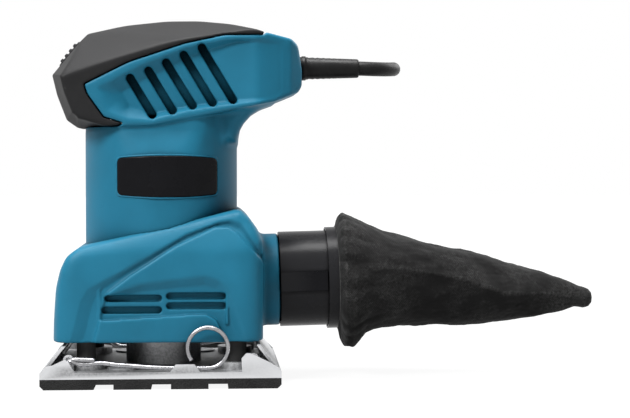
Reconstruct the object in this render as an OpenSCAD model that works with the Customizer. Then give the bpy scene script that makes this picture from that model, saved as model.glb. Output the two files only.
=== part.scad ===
// Palm finishing sander for a quarter sheet of paper.
// The origin is the centre of the pad's working face. +X points to the dust bag,
// +Y to the side away from the front clamp's ring, +Z up. Millimetres.
// Heights of the housing, the rotor and the dust bag are counted from the lower
// edge of the skirt, and the module lift() puts them at their place.

/* [Pad and base] */
// Length of the foam pad, front to rear
pad_l = 110; // [108:1:116]
// Width of the foam pad
pad_w = 100; // [100:1:108]
// Thickness of the foam pad
pad_t = 4.8; // [3.5:0.1:8]
// Width of each cross groove in the pad
groove_w = 9; // [5:0.5:12]
// Depth of each cross groove in the pad
groove_d = 2.3; // [1:0.1:3]
// Length of each cross groove, in from the pad's long edge
groove_l = 38; // [20:1:42]
// Distance between neighbouring grooves
groove_pitch = 26.1; // [20:0.1:30]
// Thickness of the cast base plate
base_t = 2.85; // [2:0.05:5]
// Thickness of the sloped end walls of the base
end_wall_t = 1.4; // [1:0.1:2.5]
// Height of the end walls above the base plate
end_wall_h = 11.4; // [9:0.1:12]
// Thickness of the ears and of the hook tab
ear_t = 1.8; // [1:0.1:2.4]
// Outer radius of the hub that holds the eccentric bearing
hub_r = 18; // [16.5:0.1:22]

/* [Orbit and legs] */
// Radius of the pad's circular path
orbit_e = 0.75; // [0.5:0.05:1]
// Distance of the legs from the centre, along X
leg_x = 35; // [33:0.5:37]
// Distance of the legs from the pad's long edges
leg_in = 17; // [16:0.5:20]
// Radius of a rubber leg
leg_r = 4.4; // [3.5:0.1:5]
// Radius of the bosses that the legs stand on
boss_r = 8.5; // [7:0.1:9]
// Height of the leg bosses above the base plate
boss_h = 3.2; // [2:0.1:4]
// Length of a rubber leg
leg_l = 22; // [19:0.5:26]

/* [Paper clamps] */
// Diameter of the clamp wire
wire_d = 2; // [1.6:0.1:2.2]
// Distance of the clamp pivots from the pad's short edges
pivot_in = 12.5; // [12:0.1:13.5]
// Height of the clamp pivots above the base plate
pivot_h = 5.2; // [4.9:0.1:5.6]
// Radius of the finger ring, at the middle of the wire
ring_r = 9.3; // [8:0.1:10]
// Distance of the ring's centre from the pad's centre, along X
ring_x = 21.3; // [19:0.1:23]

/* [Skirt] */
// Gap between the base plate and the skirt
skirt_gap = 12.85; // [12.5:0.05:16]
// Distance from the centre to the skirt's front face
skirt_front = 51.5; // [49:0.5:54]
// Distance from the centre to the skirt's rear face
skirt_rear = 48.5; // [47:0.5:51]
// How far the skirt's sides stand in from the pad's edges
skirt_in = 6; // [5.8:0.1:7.5]
// Radius of the skirt's upright corners
skirt_r = 14; // [8:0.5:18]
// Height of the skirt where it meets the barrel in front
skirt_front_h = 43.8; // [41:0.1:47]
// Height of the skirt behind the barrel
skirt_rear_h = 61.1; // [58:0.1:64]
// Wall thickness of the skirt
skirt_wall = 2.4; // [1.8:0.1:3]
// Depth of the swoosh band in the skirt's sides
swoosh_d = 1.6; // [0.8:0.1:1.8]
// Height of a vent slot
vent_h = 3; // [2:0.1:3.6]

/* [Barrel and head] */
// Outer radius of the motor barrel
barrel_r = 36.4; // [35.6:0.1:37.4]
// Wall thickness of the barrel and of the head
wall = 2.6; // [2:0.1:3]
// Reach of the head's nose in front of the centre
head_front = 52; // [50:0.1:57]
// Reach of the head behind the centre
head_rear = 66.6; // [64:0.1:70]
// Height of the crown above the skirt's lower edge
head_top = 150.6; // [149:0.1:156]
// Half width of the head
head_y = 33; // [32:0.5:36]
// Depth of the finger pockets in the head's sides
pocket_d = 2; // [1:0.1:2.2]
// Width of the slanted air slots in the pockets
air_slot_w = 3; // [2:0.1:3.6]

/* [Nameplates] */
// Length of a nameplate, around the barrel
plate_w = 46.4; // [40:0.1:50]
// Height of a nameplate
plate_h = 19; // [15:0.1:22]
// Distance of the near plate's middle from the centre, along X
plate_mid_x = 2.7; // [0:0.1:5]
// Height of the plates' middle above the skirt's lower edge
plate_mid_h = 76.4; // [73:0.1:77]
// How far a nameplate stands proud of the barrel
plate_proud = 0.6; // [0.3:0.1:1]

/* [Motor] */
// Radius of the stator core
stator_r = 31; // [29:0.1:33]
// Length of the stator and armature cores
core_l = 36; // [30:0.5:40]
// Radius of the armature core
armature_r = 17.4; // [15:0.1:18.5]
// Air gap between armature and stator
air_gap = 0.6; // [0.3:0.1:1]
// Radius of the shaft in the bearings and the cores
shaft_r = 5; // [4:0.1:5.5]
// Outer radius of both rotor bearings
rotor_bearing_r = 13; // [12:0.1:14]
// Height of both rotor bearings
rotor_bearing_h = 8; // [6:0.1:9]
// Radius of the commutator
commutator_r = 11.5; // [10:0.1:13]
// Radius of the fan
fan_r = 34; // [28:0.5:36]
// Number of blades on each face of the fan
fan_blades = 12; // [8:1:16]
// Radius of the counterweight, heavy side
weight_r = 25; // [20:0.5:28]
// Width of a field coil
coil_w = 26; // [22:0.5:28]
// Thickness of a field coil's ends
coil_t = 6.6; // [5:0.1:7]
// Outer radius of the eccentric bearing
ecc_bearing_r = 14; // [13:0.1:15]
// Inner radius of the eccentric bearing
ecc_pin_r = 6; // [5:0.1:7]
// Height of the eccentric bearing
ecc_bearing_h = 8; // [6:0.1:9]

// Width of a carbon brush
brush_w = 6.6; // [5:0.1:7]
// Thickness of a carbon brush
brush_t = 5.6; // [4:0.1:6]
// Wall thickness of a brush holder
holder_wall = 1; // [0.8:0.1:1.4]

/* [Dust outlet and bag] */
// Outer radius of the adapter tube
tube_r = 23; // [22:0.1:24]
// Wall thickness of the adapter tube
tube_wall = 2.4; // [1.8:0.1:3]
// Length of the adapter tube
tube_l = 29; // [26:0.5:34]
// Length of the outlet spigot inside the adapter tube
spigot_l = 18; // [12:0.5:22]
// Height of the outlet's axis above the skirt's lower edge
outlet_h = 26.2; // [25.6:0.1:27]
// Upward tilt of the outlet, in degrees
outlet_tilt = 1.5; // [0:0.1:2]
// Radius of the collar that clamps the bag
collar_r = 24.6; // [24.2:0.1:26]
// Length of the dust bag, from its mouth to its tip
bag_l = 125; // [110:1:140]
// Thickness of the bag's cloth
cloth_t = 1.2; // [0.8:0.1:1.6]

/* [Switch and cord] */
// Length of the switch slider
slider_l = 15; // [12:0.5:17]
// Width of the switch slider
slider_w = 14; // [10:0.5:16]
// Length of the switch's body, along the facet
switch_l = 22; // [18:0.5:22]
// Width of the switch's body
switch_w = 18; // [14:0.5:20]
// Depth of the switch's body
switch_t = 12; // [9:0.5:12]
// Length of the capacitor, across the head
capacitor_l = 22; // [16:0.5:24]
// Height of the capacitor
capacitor_h = 14; // [10:0.5:16]
// Travel of the switch slider
slider_travel = 4; // [3:0.5:5]
// Diameter of the cord
cord_d = 7; // [6:0.1:8]
// Drop from the crown of the head to the middle of the cord
cord_drop = 22.1; // [22:0.1:25]
// Length of the cord guard outside the head
guard_l = 30; // [24:0.5:32]

/* [Screws] */
// Radius of the screws
screw_r = 1.5; // [1.2:0.1:1.6]
// Radius of the heads of the legs' screws
leg_head_r = 3; // [2.6:0.1:3.2]
// Length of a leg's screw inside the leg
leg_thread_l = 7; // [5:0.5:9]
// Radius of the heads of the bracket's screws
bracket_head_r = 2.8; // [2.4:0.1:3]
// Radius of the heads of the housing's screws
housing_head_r = 3.2; // [2.8:0.1:3.4]
// Length of the housing's screws under their heads
housing_screw_l = 21; // [18:0.5:23]
// Radius of the bosses that take the bracket's screws
bracket_boss_r = 3.4; // [2.8:0.1:3.6]
// Length of the bosses that take the bracket's screws
bracket_boss_l = 9; // [8:0.5:10]

/* [Fits] */
// Running clearance between a shaft and its bearing, all round
fit = 0.03; // [0.02:0.01:0.08]
// Clearance between rigid pieces that slip over each other, all round
slip = 0.3; // [0.15:0.05:0.5]
// Clearance round a screw in its through hole
screw_slip = 0.2; // [0.1:0.05:0.4]

/* [Hidden] */
$fn = 48;
eps = 0.01;
blue = [0.12, 0.42, 0.55];

base_z = pad_t + base_t;
leg_y = pad_w / 2 - leg_in;
pivot_x = pad_l / 2 - pivot_in;
skirt_y = pad_w / 2 - skirt_in;
skirt_z = base_z + skirt_gap;
motor_x = -orbit_e;
ecc_bearing_z = base_z + 3;
hub_h = 3 + ecc_bearing_h + 1.6;
wire_r = wire_d / 2;
wire_y = pad_w / 2 - ear_t - slip - wire_r - 0.4;
end_wall_run = end_wall_h * 0.77;

// Heights above the skirt's lower edge, from the bottom of the rotor to its top
weight_h = 0.4;
weight_t = 5.2;
fan_h = weight_h + weight_t + 0.6;
blade_h = 6;
fan_disc_t = 2;
bracket_h = fan_h + 2 * blade_h + fan_disc_t + 1.4;
bracket_t = 5;
lower_bearing_h = bracket_h + 2;
barrel_h = bracket_h + bracket_t;
winding_l = 8;
core_h = lower_bearing_h + rotor_bearing_h + 4 + winding_l;
commutator_h = core_h + core_l + winding_l + 2;
commutator_l = 12;
upper_bearing_h = commutator_h + commutator_l + 3;
shaft_top_h = upper_bearing_h + rotor_bearing_h;
bearing_plate_t = 4;
bearing_lip = 3;
shaft_hole_r = 8;
bracket_air_r = 4.5;
bracket_air_at = 23;
neck_h = 91;
taper_h = 86;
barrel_top_h = upper_bearing_h + bearing_plate_t;

// Side outline of the head, from the nose over the crown to the rear and back
head_outline = [
    [-head_front, head_top - 26.4], [-head_front + 16.5, head_top - 6.3], [-18, head_top - 2],
    [2, head_top], [17.5, head_top - 0.3], [32.7, head_top - 2.4], [48.5, head_top - 6.8],
    [head_rear - 5.7, head_top - 9.5], [head_rear - 2.4, head_top - 12.2],
    [head_rear, head_top - 24.6], [head_rear, 119.5], [head_rear - 2.4, 115.9], [52.6, 111.3], [-4, 100],
    [-39.7, 99], [-head_front + 6.8, 102.9], [-head_front + 2.3, 114.6],
];
// Lower edge of the grip cap, from the rear of the crown to the nose
cap_edge = [
    [48.5, head_top - 6.8], [47.2, head_top - 8.1], [29.9, head_top - 8.2], [11.2, head_top - 12.2],
    [-14.9, head_top - 20.9], [-35.7, head_top - 31.4], [-34.3, 114.6], [-28.7, 104.5],
    [-19.6, 101.4], [-20.9, 99.9], [-35.7, 98.6], [-head_front - 8, 98],
    [-head_front - 8, head_top + 10], [49, head_top + 10],
];
head_plan = [
    [-head_front, 11], [-head_front + 5.1, head_y - 3], [-head_front + 11, head_y],
    [45, head_y], [head_rear - 6, head_y - 7], [head_rear, head_y - 14],
];
head_plan_all = concat(
    head_plan, [for (i = [len(head_plan) - 1:-1:0]) [head_plan[i][0], -head_plan[i][1]]]
);
// Slope of the head's sides towards the crown, as flat facets. Each has two points of the
// ridge on the side, X and height, and one point nearer the middle.
facet_y = 17;
head_facets = [
    [[-44, head_top - 26.8], [-25.4, head_top - 20.1], [-36.8, head_top - 8.5]],
    [[-25.4, head_top - 20.1], [-8.2, head_top - 14.9], [-18, head_top - 4.2]],
    [[-8.2, head_top - 14.9], [6.3, head_top - 10.8], [0, head_top - 2.3]],
    [[6.3, head_top - 10.8], [29, head_top - 7.5], [17.5, head_top - 2.5]],
];

// Side outline and cross-section of the skirt
skirt_outline = [
    [-skirt_front, 0], [-skirt_front + 0.5, 9.5], [-skirt_front + 2.1, 24.5],
    [-skirt_front + 4.8, 33.5], [-skirt_front + 7.9, 39.5], [-38, skirt_front_h],
    [30, skirt_rear_h - 1.4], [36.5, skirt_rear_h], [40.5, skirt_rear_h - 3.6],
    [44.2, skirt_rear_h - 8.7], [skirt_rear - 0.7, skirt_rear_h - 14.2],
    [skirt_rear, skirt_rear_h - 20], [skirt_rear, 0],
];
skirt_section = [
    [-skirt_y, 0], [-skirt_y, 28], [-skirt_y + 1.6, 42], [-skirt_y + 6.4, 55], [-skirt_y + 7.6, 64],
    [skirt_y - 7.6, 64], [skirt_y - 6.4, 55], [skirt_y - 1.6, 42], [skirt_y, 28], [skirt_y, 0],
];
swoosh_outline = [
    [-42.1, -1], [-36.2, 19.4], [-33.2, 24.5], [-14.2, 34.8], [11.5, 49.7], [26.9, 55.3],
    [32, 56], [37.2, 54.3], [skirt_rear, 38], [skirt_rear, 35], [35.1, 50.2], [31, 52.7], [24.8, 52.7],
    [6.4, 44], [-14.2, 30.7], [-25, 22.5], [-31.8, -1],
];
vent_field = [
    [-25, 23], [-9.1, 27.1], [19.7, 30.7], [26.9, 28.6], [31, 23.5], [38, 9.5],
    [20, 12.5], [-28.5, 10],
];
// Each vent slot: front end, rear end, height of its middle
vents = [[-26, 0.2, 20.4], [-27.5, 0.2, 15], [2.3, 29.9, 21.3], [2.3, 29.9, 16.8]];
pocket_outline = [
    [-33, head_top - 32], [-9.5, head_top - 21], [11.4, head_top - 13.2], [30.1, head_top - 9.6],
    [47.2, head_top - 9.6], [56, head_top - 12.6], [56, 116], [51.2, 111.5],
    [36.3, 110.2], [13.4, 107.1], [-4.8, 102.8], [-20.4, 103.4], [-28.8, 106],
];
// Top and bottom ends of the slanted air slots
air_slots = [
    [[-13.7, head_top - 30.4], [-3.3, 103.4]], [[-5.2, head_top - 27.3], [6.1, 105.5]],
    [[3, head_top - 23.6], [15.5, 107.6]], [[11.4, head_top - 20], [24.7, 109.2]],
    [[19.7, head_top - 16.4], [34.1, 110.7]],
];
screw_spots = [[-26, 90], [23, 90], [-26, 110], [50, head_top - 18.6]];
web_y = head_y - wall - pocket_d - 5;

// Bag: distance from the mouth, height of the middle, half height and half width of each ring
bag_rings = [
    [0, 0, collar_r, collar_r], [2.5, -1.5, 31, 30], [8, 0, 29, 29], [16, 0.5, 24.5, 27],
    [25, 0, 22, 25], [40, -3, 18.8, 22], [60, -4, 15.8, 18], [80, -3.6, 12, 14],
    [100, -4.5, 8, 9.5], [bag_l - 8, -6.5, 3.6, 5], [bag_l, -7, 3.4, 4.4],
];

// Cord: out of the guard, round behind the head, down behind the barrel, to the coil
cord_path = [
    [95, 0, 149], [99.5, 0.7, 148.9], [104.5, 3.4, 148.9], [109.5, 8.5, 149.1], [113.2, 16, 149.6],
    [114.5, 25, 150.1], [113.8, 34, 150.6], [110.5, 43, 151.1], [104.5, 51, 151.6], [96, 57.5, 151.9],
    [86, 61, 151.8], [74, 62.3, 150.6], [60, 62.3, 147.2], [46, 61.8, 140.5], [34, 61.2, 130],
    [25.5, 61, 117], [20, 61, 102], [17.5, 61, 86], [17, 61, 70], [16.5, 61.5, 54], [15, 62, 39],
    [10, 62, 24], [0, 62, 11.5], [-13, 62, 5], [-27, 64.5, 3.5], [-37.5, 71.5, 3.5],
    [-44.5, 82, 3.5], [-47, 94, 3.5], [-47, 110, 3.5], [-46, 125, 3.5],
];
// Tail: from the coil's upper layer up to the plug
tail_path = [
    [-43.65, 139.5, 10.5], [-41.2, 145.8, 10.6], [-36.5, 152.5, 11.8], [-29.5, 158.5, 14.6],
    [-20.5, 163.3, 18.2], [-11.5, 166.4, 20.9], [-2, 167.5, 22],
];
cord_r = cord_d / 2;
coil_at = [0, 125, 0];
coil_inner = 28.5;
coil_outer = 49.5;
coil_layers_h = 14;
plug_at = [-2, 167.5, 22];
plug_turn = -10;
plug_relief_l = 12;
plug_l = 28;
plug_w = 25;
plug_t = 15;
pin_l = 19;
pin_r = 2;
pin_gap = 19;
cord_exit_h = head_top - cord_drop;
guard_root_l = 5.5;
head_floor_h = 114.1;

// ---- helpers ----

// Puts the housing, the rotor and the bag at their height
module lift() { translate([0, 0, skirt_z]) children(); }

// Puts what turns or centres on the motor's axis at its place
module on_motor() { translate([motor_x, 0, skirt_z]) children(); }

// A side outline, drawn in X and Z, given a width along Y
module side_slab(w, y = 0) {
    translate([0, y + w / 2, 0]) rotate([90, 0, 0]) linear_extrude(w) children();
}

// A cross-section, drawn in Y and Z, given a length along X
module cross_slab(l, x = 0) {
    translate([x, 0, 0]) rotate([90, 0, 90]) linear_extrude(l) children();
}

// Mirror copies on both sides of the plane Y = 0
module both_sides() {
    children();
    mirror([0, 1, 0]) children();
}

// A tube or ring with its bottom at z
module ring(r_out, r_in, h, z = 0) {
    translate([0, 0, z]) difference() {
        cylinder(r = r_out, h = h);
        translate([0, 0, -1]) cylinder(r = r_in, h = h + 2);
    }
}

// A bar with round ends between two points of a side outline
module stadium(a, b, w) {
    d = b - a;
    l = norm(d);
    translate(a) rotate(atan2(d[1], d[0])) {
        translate([0, -w / 2]) square([l, w]);
        circle(d = w, $fn = 24);
        translate([l, 0]) circle(d = w, $fn = 24);
    }
}

function unit(v) = v / norm(v);
function tangent(p, i) = unit(p[min(i + 1, len(p) - 1)] - p[max(i - 1, 0)]);
function across(n, t) = unit(n - (n * t) * t);

// One normal for each point, carried along the path without twisting
function normals(p, start) = [
    for (i = 0, n = across(start, tangent(p, 0)); i < len(p);
         i = i + 1, n = across(n, tangent(p, min(i, len(p) - 1)))) n
];

// A round tube along a path
module sweep(path, r, sides = 10, start = [0.1, 0.2, 1]) {
    n = normals(path, start);
    rings = len(path);
    points = [
        for (i = [0:rings - 1], k = [0:sides - 1])
            let (a = 360 * k / sides, side = cross(tangent(path, i), n[i]))
            path[i] + r * (cos(a) * n[i] + sin(a) * side)
    ];
    walls = [
        for (i = [0:rings - 2], k = [0:sides - 1])
            let (j = (k + 1) % sides, low = i * sides, high = low + sides)
            [low + k, high + k, high + j, low + j]
    ];
    caps = [
        [for (k = [0:sides - 1]) k],
        [for (k = [sides - 1:-1:0]) (rings - 1) * sides + k],
    ];
    polyhedron(points = points, faces = concat(walls, caps), convexity = 6);
}

// ---- base, pad and legs ----

module at_legs() {
    for (x = [-leg_x, leg_x], y = [-leg_y, leg_y]) translate([x, y, 0]) children();
}

// Small ear of a clamp: [distance in from the end, height above the plate]
small_ear = [[0, 0], [2.9, 2.9], [5.6, 3.4], [11.6, 6.2], [13.2, 4.8], [14.1, 3], [16, 0]];
// Tall ear at the other end of the same side
tall_ear = [[0, 0], [1.2, 1.7], [4.8, 4], [9.2, 6.1], [14.1, 8.4], [16.2, 8.4], [18.3, 6], [18, 0]];

module ear(outline) {
    translate([-pad_l / 2, -pad_w / 2 + ear_t, 0]) rotate([90, 0, 0])
        linear_extrude(ear_t) polygon(outline);
}

module end_wall() {
    run = end_wall_run;
    t = end_wall_t * 1.25;
    side_slab(2 * (wire_y - wire_r - 1.2))
        polygon([
            [-pad_l / 2 + 0.5, -0.01], [-pad_l / 2 + 0.5 + run, end_wall_h],
            [-pad_l / 2 + 0.5 + run + t, end_wall_h], [-pad_l / 2 + 0.5 + t, -0.01],
        ]);
}

// Upright lug with the pivot hole of a clamp
lug_y = wire_y - wire_r - 3.4;
lug_t = 2;
module pivot_lug(y) {
    translate([-pivot_x, y, 0]) difference() {
        side_slab(lug_t) union() {
            translate([-2.4, 0]) square([4.8, pivot_h]);
            translate([0, pivot_h]) circle(2.4);
        }
        translate([0, 0, pivot_h]) rotate([90, 0, 0]) cylinder(r = wire_r + slip, h = 10, center = true);
    }
}

// One end of the base: wall, two ears and two pivot lugs
module base_end() {
    end_wall();
    ear(small_ear);
    mirror([0, 1, 0]) ear(tall_ear);
    pivot_lug(-lug_y);
    pivot_lug(lug_y);
}

module hook_tab() {
    translate([11, -pad_w / 2 + ear_t, 0]) rotate([90, 0, 0]) linear_extrude(ear_t)
        polygon([[-7, 0], [-4.4, 3.5], [4.3, 3.5], [7, 0]]);
}

module base_plate() {
    color([0.62, 0.63, 0.64]) difference() {
        translate([0, 0, pad_t]) union() {
            translate([-pad_l / 2, -pad_w / 2, 0]) cube([pad_l, pad_w, base_t]);
            translate([0, 0, base_t]) {
                for (turn = [0, 180]) rotate(turn) {
                    base_end();
                    hook_tab();
                    translate([-18, -37, 0]) cylinder(r = 7, h = 0.9);
                    translate([18, -37, 0]) cylinder(r = 7, h = 0.9);
                }
                at_legs() cylinder(r = boss_r, h = boss_h);
                cylinder(r = hub_r, h = hub_h);
            }
        }
        at_legs() {
            translate([0, 0, pad_t - 1]) cylinder(r = leg_head_r + eps, h = 2.4);
            translate([0, 0, pad_t - 1]) cylinder(r = screw_r + eps, h = leg_l);
        }
        translate([0, 0, ecc_bearing_z]) cylinder(r = ecc_bearing_r + eps, h = hub_h);
        translate([0, 0, base_z + 1]) cylinder(r = ecc_bearing_r - 3, h = hub_h);
        translate([0, 0, ecc_bearing_z + ecc_bearing_h + eps])
            cylinder(r = ecc_bearing_r + 0.8, h = 1);
    }
}

module sanding_pad() {
    color([0.11, 0.11, 0.11]) difference() {
        translate([-pad_l / 2, -pad_w / 2, 0]) cube([pad_l, pad_w, pad_t - eps]);
        both_sides() for (i = [-1:1]) translate([i * groove_pitch - groove_w / 2, -pad_w / 2 - 1, -1])
            cube([groove_w, groove_l + 1, groove_d + 1]);
        for (turn = [0, 180]) rotate(turn) side_slab(2 * pad_w)
            polygon([[-pad_l / 2 - 1, -1], [-pad_l / 2 - 1, 1.8], [-pad_l / 2, 1.8],
                     [-pad_l / 2 + 1.8, 0], [-pad_l / 2 + 1.8, -1]]);
    }
}

leg_z = base_z + boss_h + eps;
module rubber_legs() {
    color([0.1, 0.1, 0.1]) translate([0, 0, leg_z]) at_legs() difference() {
        cylinder(r = leg_r, h = leg_l);
        translate([0, 0, -1]) cylinder(r = screw_r + screw_slip / 2, h = leg_thread_l + 2);
    }
}

module leg_screws() {
    color([0.25, 0.25, 0.26]) at_legs() {
        translate([0, 0, pad_t + 0.1]) cylinder(r = leg_head_r, h = 1.2);
        translate([0, 0, pad_t + 0.2]) cylinder(r = screw_r, h = base_t + boss_h + leg_thread_l);
    }
}

module eccentric_bearing() {
    color([0.75, 0.76, 0.78])
        ring(ecc_bearing_r, ecc_pin_r + fit, ecc_bearing_h, ecc_bearing_z);
}

module bearing_retainer() {
    color([0.3, 0.3, 0.32])
        ring(ecc_bearing_r + 0.7, ecc_bearing_r - 1.6, 0.9, ecc_bearing_z + ecc_bearing_h + 2 * eps);
}

// ---- paper clamps ----

// Route of one clamp wire, from its head on the far side to the finger ring
jaw_in = 3.6;
jaw_up = 1.3;
wire_z = base_z + pivot_h;
ring_z = base_z + wire_r + 0.5 + ring_r;
clamp_bar = [
    [-pivot_x, lug_y + lug_t / 2 + 1.2, wire_z], [-pivot_x, lug_y - 2.2, wire_z],
    [-pivot_x - 0.6, lug_y - 3.4, wire_z + 0.2],
    [-pivot_x - jaw_in + 0.4, lug_y - 6, wire_z + jaw_up - 0.2],
    [-pivot_x - jaw_in, lug_y - 8, wire_z + jaw_up], [-pivot_x - jaw_in, 0, wire_z + jaw_up],
    [-pivot_x - jaw_in, 8 - lug_y, wire_z + jaw_up],
    [-pivot_x - jaw_in + 0.4, 6 - lug_y, wire_z + jaw_up - 0.2],
    [-pivot_x - 0.6, 3.4 - lug_y, wire_z + 0.2], [-pivot_x, 2.2 - lug_y, wire_z],
    [-pivot_x, 1.4 - wire_y, wire_z],
    [-pivot_x + 0.5, 0.4 - wire_y, wire_z - 0.1], [-pivot_x + 1.6, -wire_y, wire_z - 0.3],
];
clamp_arm = [
    [-pivot_x + 4.5, -wire_y, wire_z - 1.3], [-pivot_x + 8.7, -wire_y, wire_z - 1.5],
    [-pivot_x + 15.5, -wire_y, wire_z - 1.1], [-pivot_x + 21.9, -wire_y, wire_z - 1.9],
    [-pivot_x + 28.5, -wire_y, wire_z - 2.4], [ring_x - 26, -wire_y, ring_z - ring_r + 0.5],
    [ring_x - 15.3, -wire_y, ring_z - ring_r + 0.1], [ring_x - 7.3, -wire_y, ring_z - ring_r],
];
ring_end = 216;
clamp_ring = [
    for (a = [-90:18:ring_end])
        [ring_x + ring_r * cos(a), -wire_y, ring_z + ring_r * sin(a)]
];
clamp_tail = [
    [-pivot_x + 0.2, 1.6 - wire_y, wire_z + 0.2], [-pivot_x + 1.6, 0.3 - wire_y, wire_z + 0.4],
    [-pivot_x + 3, -wire_y, wire_z + 0.6], [-pivot_x + 7.5, -wire_y, wire_z + 0.5],
    [-pivot_x + 12, -wire_y, wire_z + 0.3],
];

module clamp() {
    color([0.78, 0.78, 0.8]) {
        sweep(concat(clamp_bar, clamp_arm, clamp_ring), wire_r, 8);
        sweep(clamp_tail, wire_r * 0.98, 8);
    }
}

module front_clamp() { clamp(); }
module rear_clamp() { rotate(180) clamp(); }

// ---- skirt and housing ----

module skirt_plan(inset) {
    offset(r = skirt_r - inset, $fn = 32) translate([-skirt_front + skirt_r, -skirt_y + skirt_r])
        square([skirt_front + skirt_rear - 2 * skirt_r, 2 * (skirt_y - skirt_r)]);
}

// The skirt's outer form, drawn in by the inset
module skirt_form(inset = 0, below = 0) {
    intersection() {
        translate([0, 0, -below]) linear_extrude(90) skirt_plan(inset);
        side_slab(2 * skirt_y + 2) union() {
            offset(delta = -inset) polygon(skirt_outline);
            if (below > 0) translate([-skirt_front, -below])
                square([skirt_front + skirt_rear, below + 2 * inset]);
        }
        cross_slab(140, -70) union() {
            offset(delta = -inset) polygon(skirt_section);
            if (below > 0) translate([-skirt_y, -below]) square([2 * skirt_y, below + 2 * inset]);
        }
    }
}

// Puts the dust outlet's pieces on its axis, which runs along the local Z
module on_outlet() {
    translate([skirt_rear + 7.3, 0, skirt_z + outlet_h]) rotate([0, 90 - outlet_tilt, 0]) children();
}

module outlet_stub() {
    translate([skirt_rear - 3, 0, outlet_h]) rotate([0, 90 - outlet_tilt, 0]) {
        cylinder(r = tube_r - 0.8, h = 10);
        cylinder(r = tube_r - tube_wall - slip, h = 10 + spigot_l);
    }
}

// Plate close behind the vent slots, on a rib at each end
module baffle() {
    translate([-29, 5.4 - skirt_y, 8]) cube([60, 1.4, 19]);
    for (x = [-29, 29.6]) translate([x, 1 - skirt_y, 8]) cube([1.4, 5, 19]);
}

module skirt() {
    color(blue) lift() difference() {
        union() {
            difference() {
                skirt_form();
                skirt_form(skirt_wall, 1);
            }
            intersection() {
                skirt_form();
                at_legs() translate([0, 0, leg_z + leg_l + slip - skirt_z]) cylinder(r = leg_r + 2, h = 40);
            }
            intersection() {
                skirt_form();
                translate([motor_x, 0, barrel_h + 2]) cylinder(r = barrel_r + 3, h = 60);
            }
            outlet_stub();
            intersection() {
                skirt_form(skirt_wall / 2);
                both_sides() baffle();
            }
        }
        translate([motor_x, 0, -1]) cylinder(r = barrel_r + slip, h = 90);
        translate([skirt_rear - 9, 0, outlet_h]) rotate([0, 90 - outlet_tilt, 0])
            cylinder(r = tube_r - tube_wall - slip - 2, h = 60);
        both_sides() {
            translate([0, -skirt_y + swoosh_d / 2, 0]) side_slab(swoosh_d + 1, -0.5) {
                polygon(swoosh_outline);
                polygon(vent_field);
            }
            for (v = vents) side_slab(12, -skirt_y)
                stadium([v[0] + vent_h / 2, v[2]], [v[1] - vent_h / 2, v[2]], vent_h);
        }
    }
}

// What lies outside one facet of the head, drawn in by the inset
module facet_cut(facet, inset) {
    a = [facet[0][0], -head_y, facet[0][1]];
    b = [facet[1][0], -head_y, facet[1][1]];
    c = [facet[2][0], -facet_y, facet[2][1]];
    n = unit(cross(b - a, c - a));
    translate(a - inset * n) rotate([0, acos(n[2]), atan2(n[1], n[0])])
        translate([-150, -150, 0]) cube([300, 300, 60]);
}

// The head's outer form, drawn in by the inset
module head_form(inset = 0) {
    difference() {
        intersection() {
            side_slab(2 * (head_y - inset)) offset(delta = -inset) polygon(head_outline);
            translate([0, 0, 80]) linear_extrude(head_top) offset(delta = -inset) polygon(head_plan_all);
        }
        both_sides() for (facet = head_facets) facet_cut(facet, inset);
    }
}

module barrel_form(inset = 0) {
    flat = head_y - 1.6 - inset;
    intersection() {
        translate([motor_x, 0, barrel_h]) cylinder(r = barrel_r - inset, h = barrel_top_h - barrel_h);
        cross_slab(140, -70) polygon([
            [-barrel_r - 1, 0], [-barrel_r - 1, taper_h], [-flat, neck_h + 7], [-flat, barrel_top_h + 20],
            [flat, barrel_top_h + 20], [flat, neck_h + 7], [barrel_r + 1, taper_h], [barrel_r + 1, 0],
        ]);
    }
}

// Concave neck between the barrel and the rear of the head
module neck_form() {
    side_slab(2 * (head_y - 8)) polygon([
        [30, 94], [motor_x + barrel_r - 0.6, 94.5], [36.8, 98.1], [38.6, 101.3], [42.4, 105.5],
        [47.5, 108.8], [52.6, 111.2], [40, 114], [20, 110],
    ]);
}

module pocket() {
    translate([0, -head_y + pocket_d / 2 - 0.5, 0]) side_slab(pocket_d + 1) polygon(pocket_outline);
}

// The space that the grip cap's wall takes up, with its clearance
module cap_skin() {
    difference() {
        intersection() {
            head_form(-slip);
            side_slab(90) polygon(cap_edge);
        }
        head_form(wall + slip);
    }
}

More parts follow.
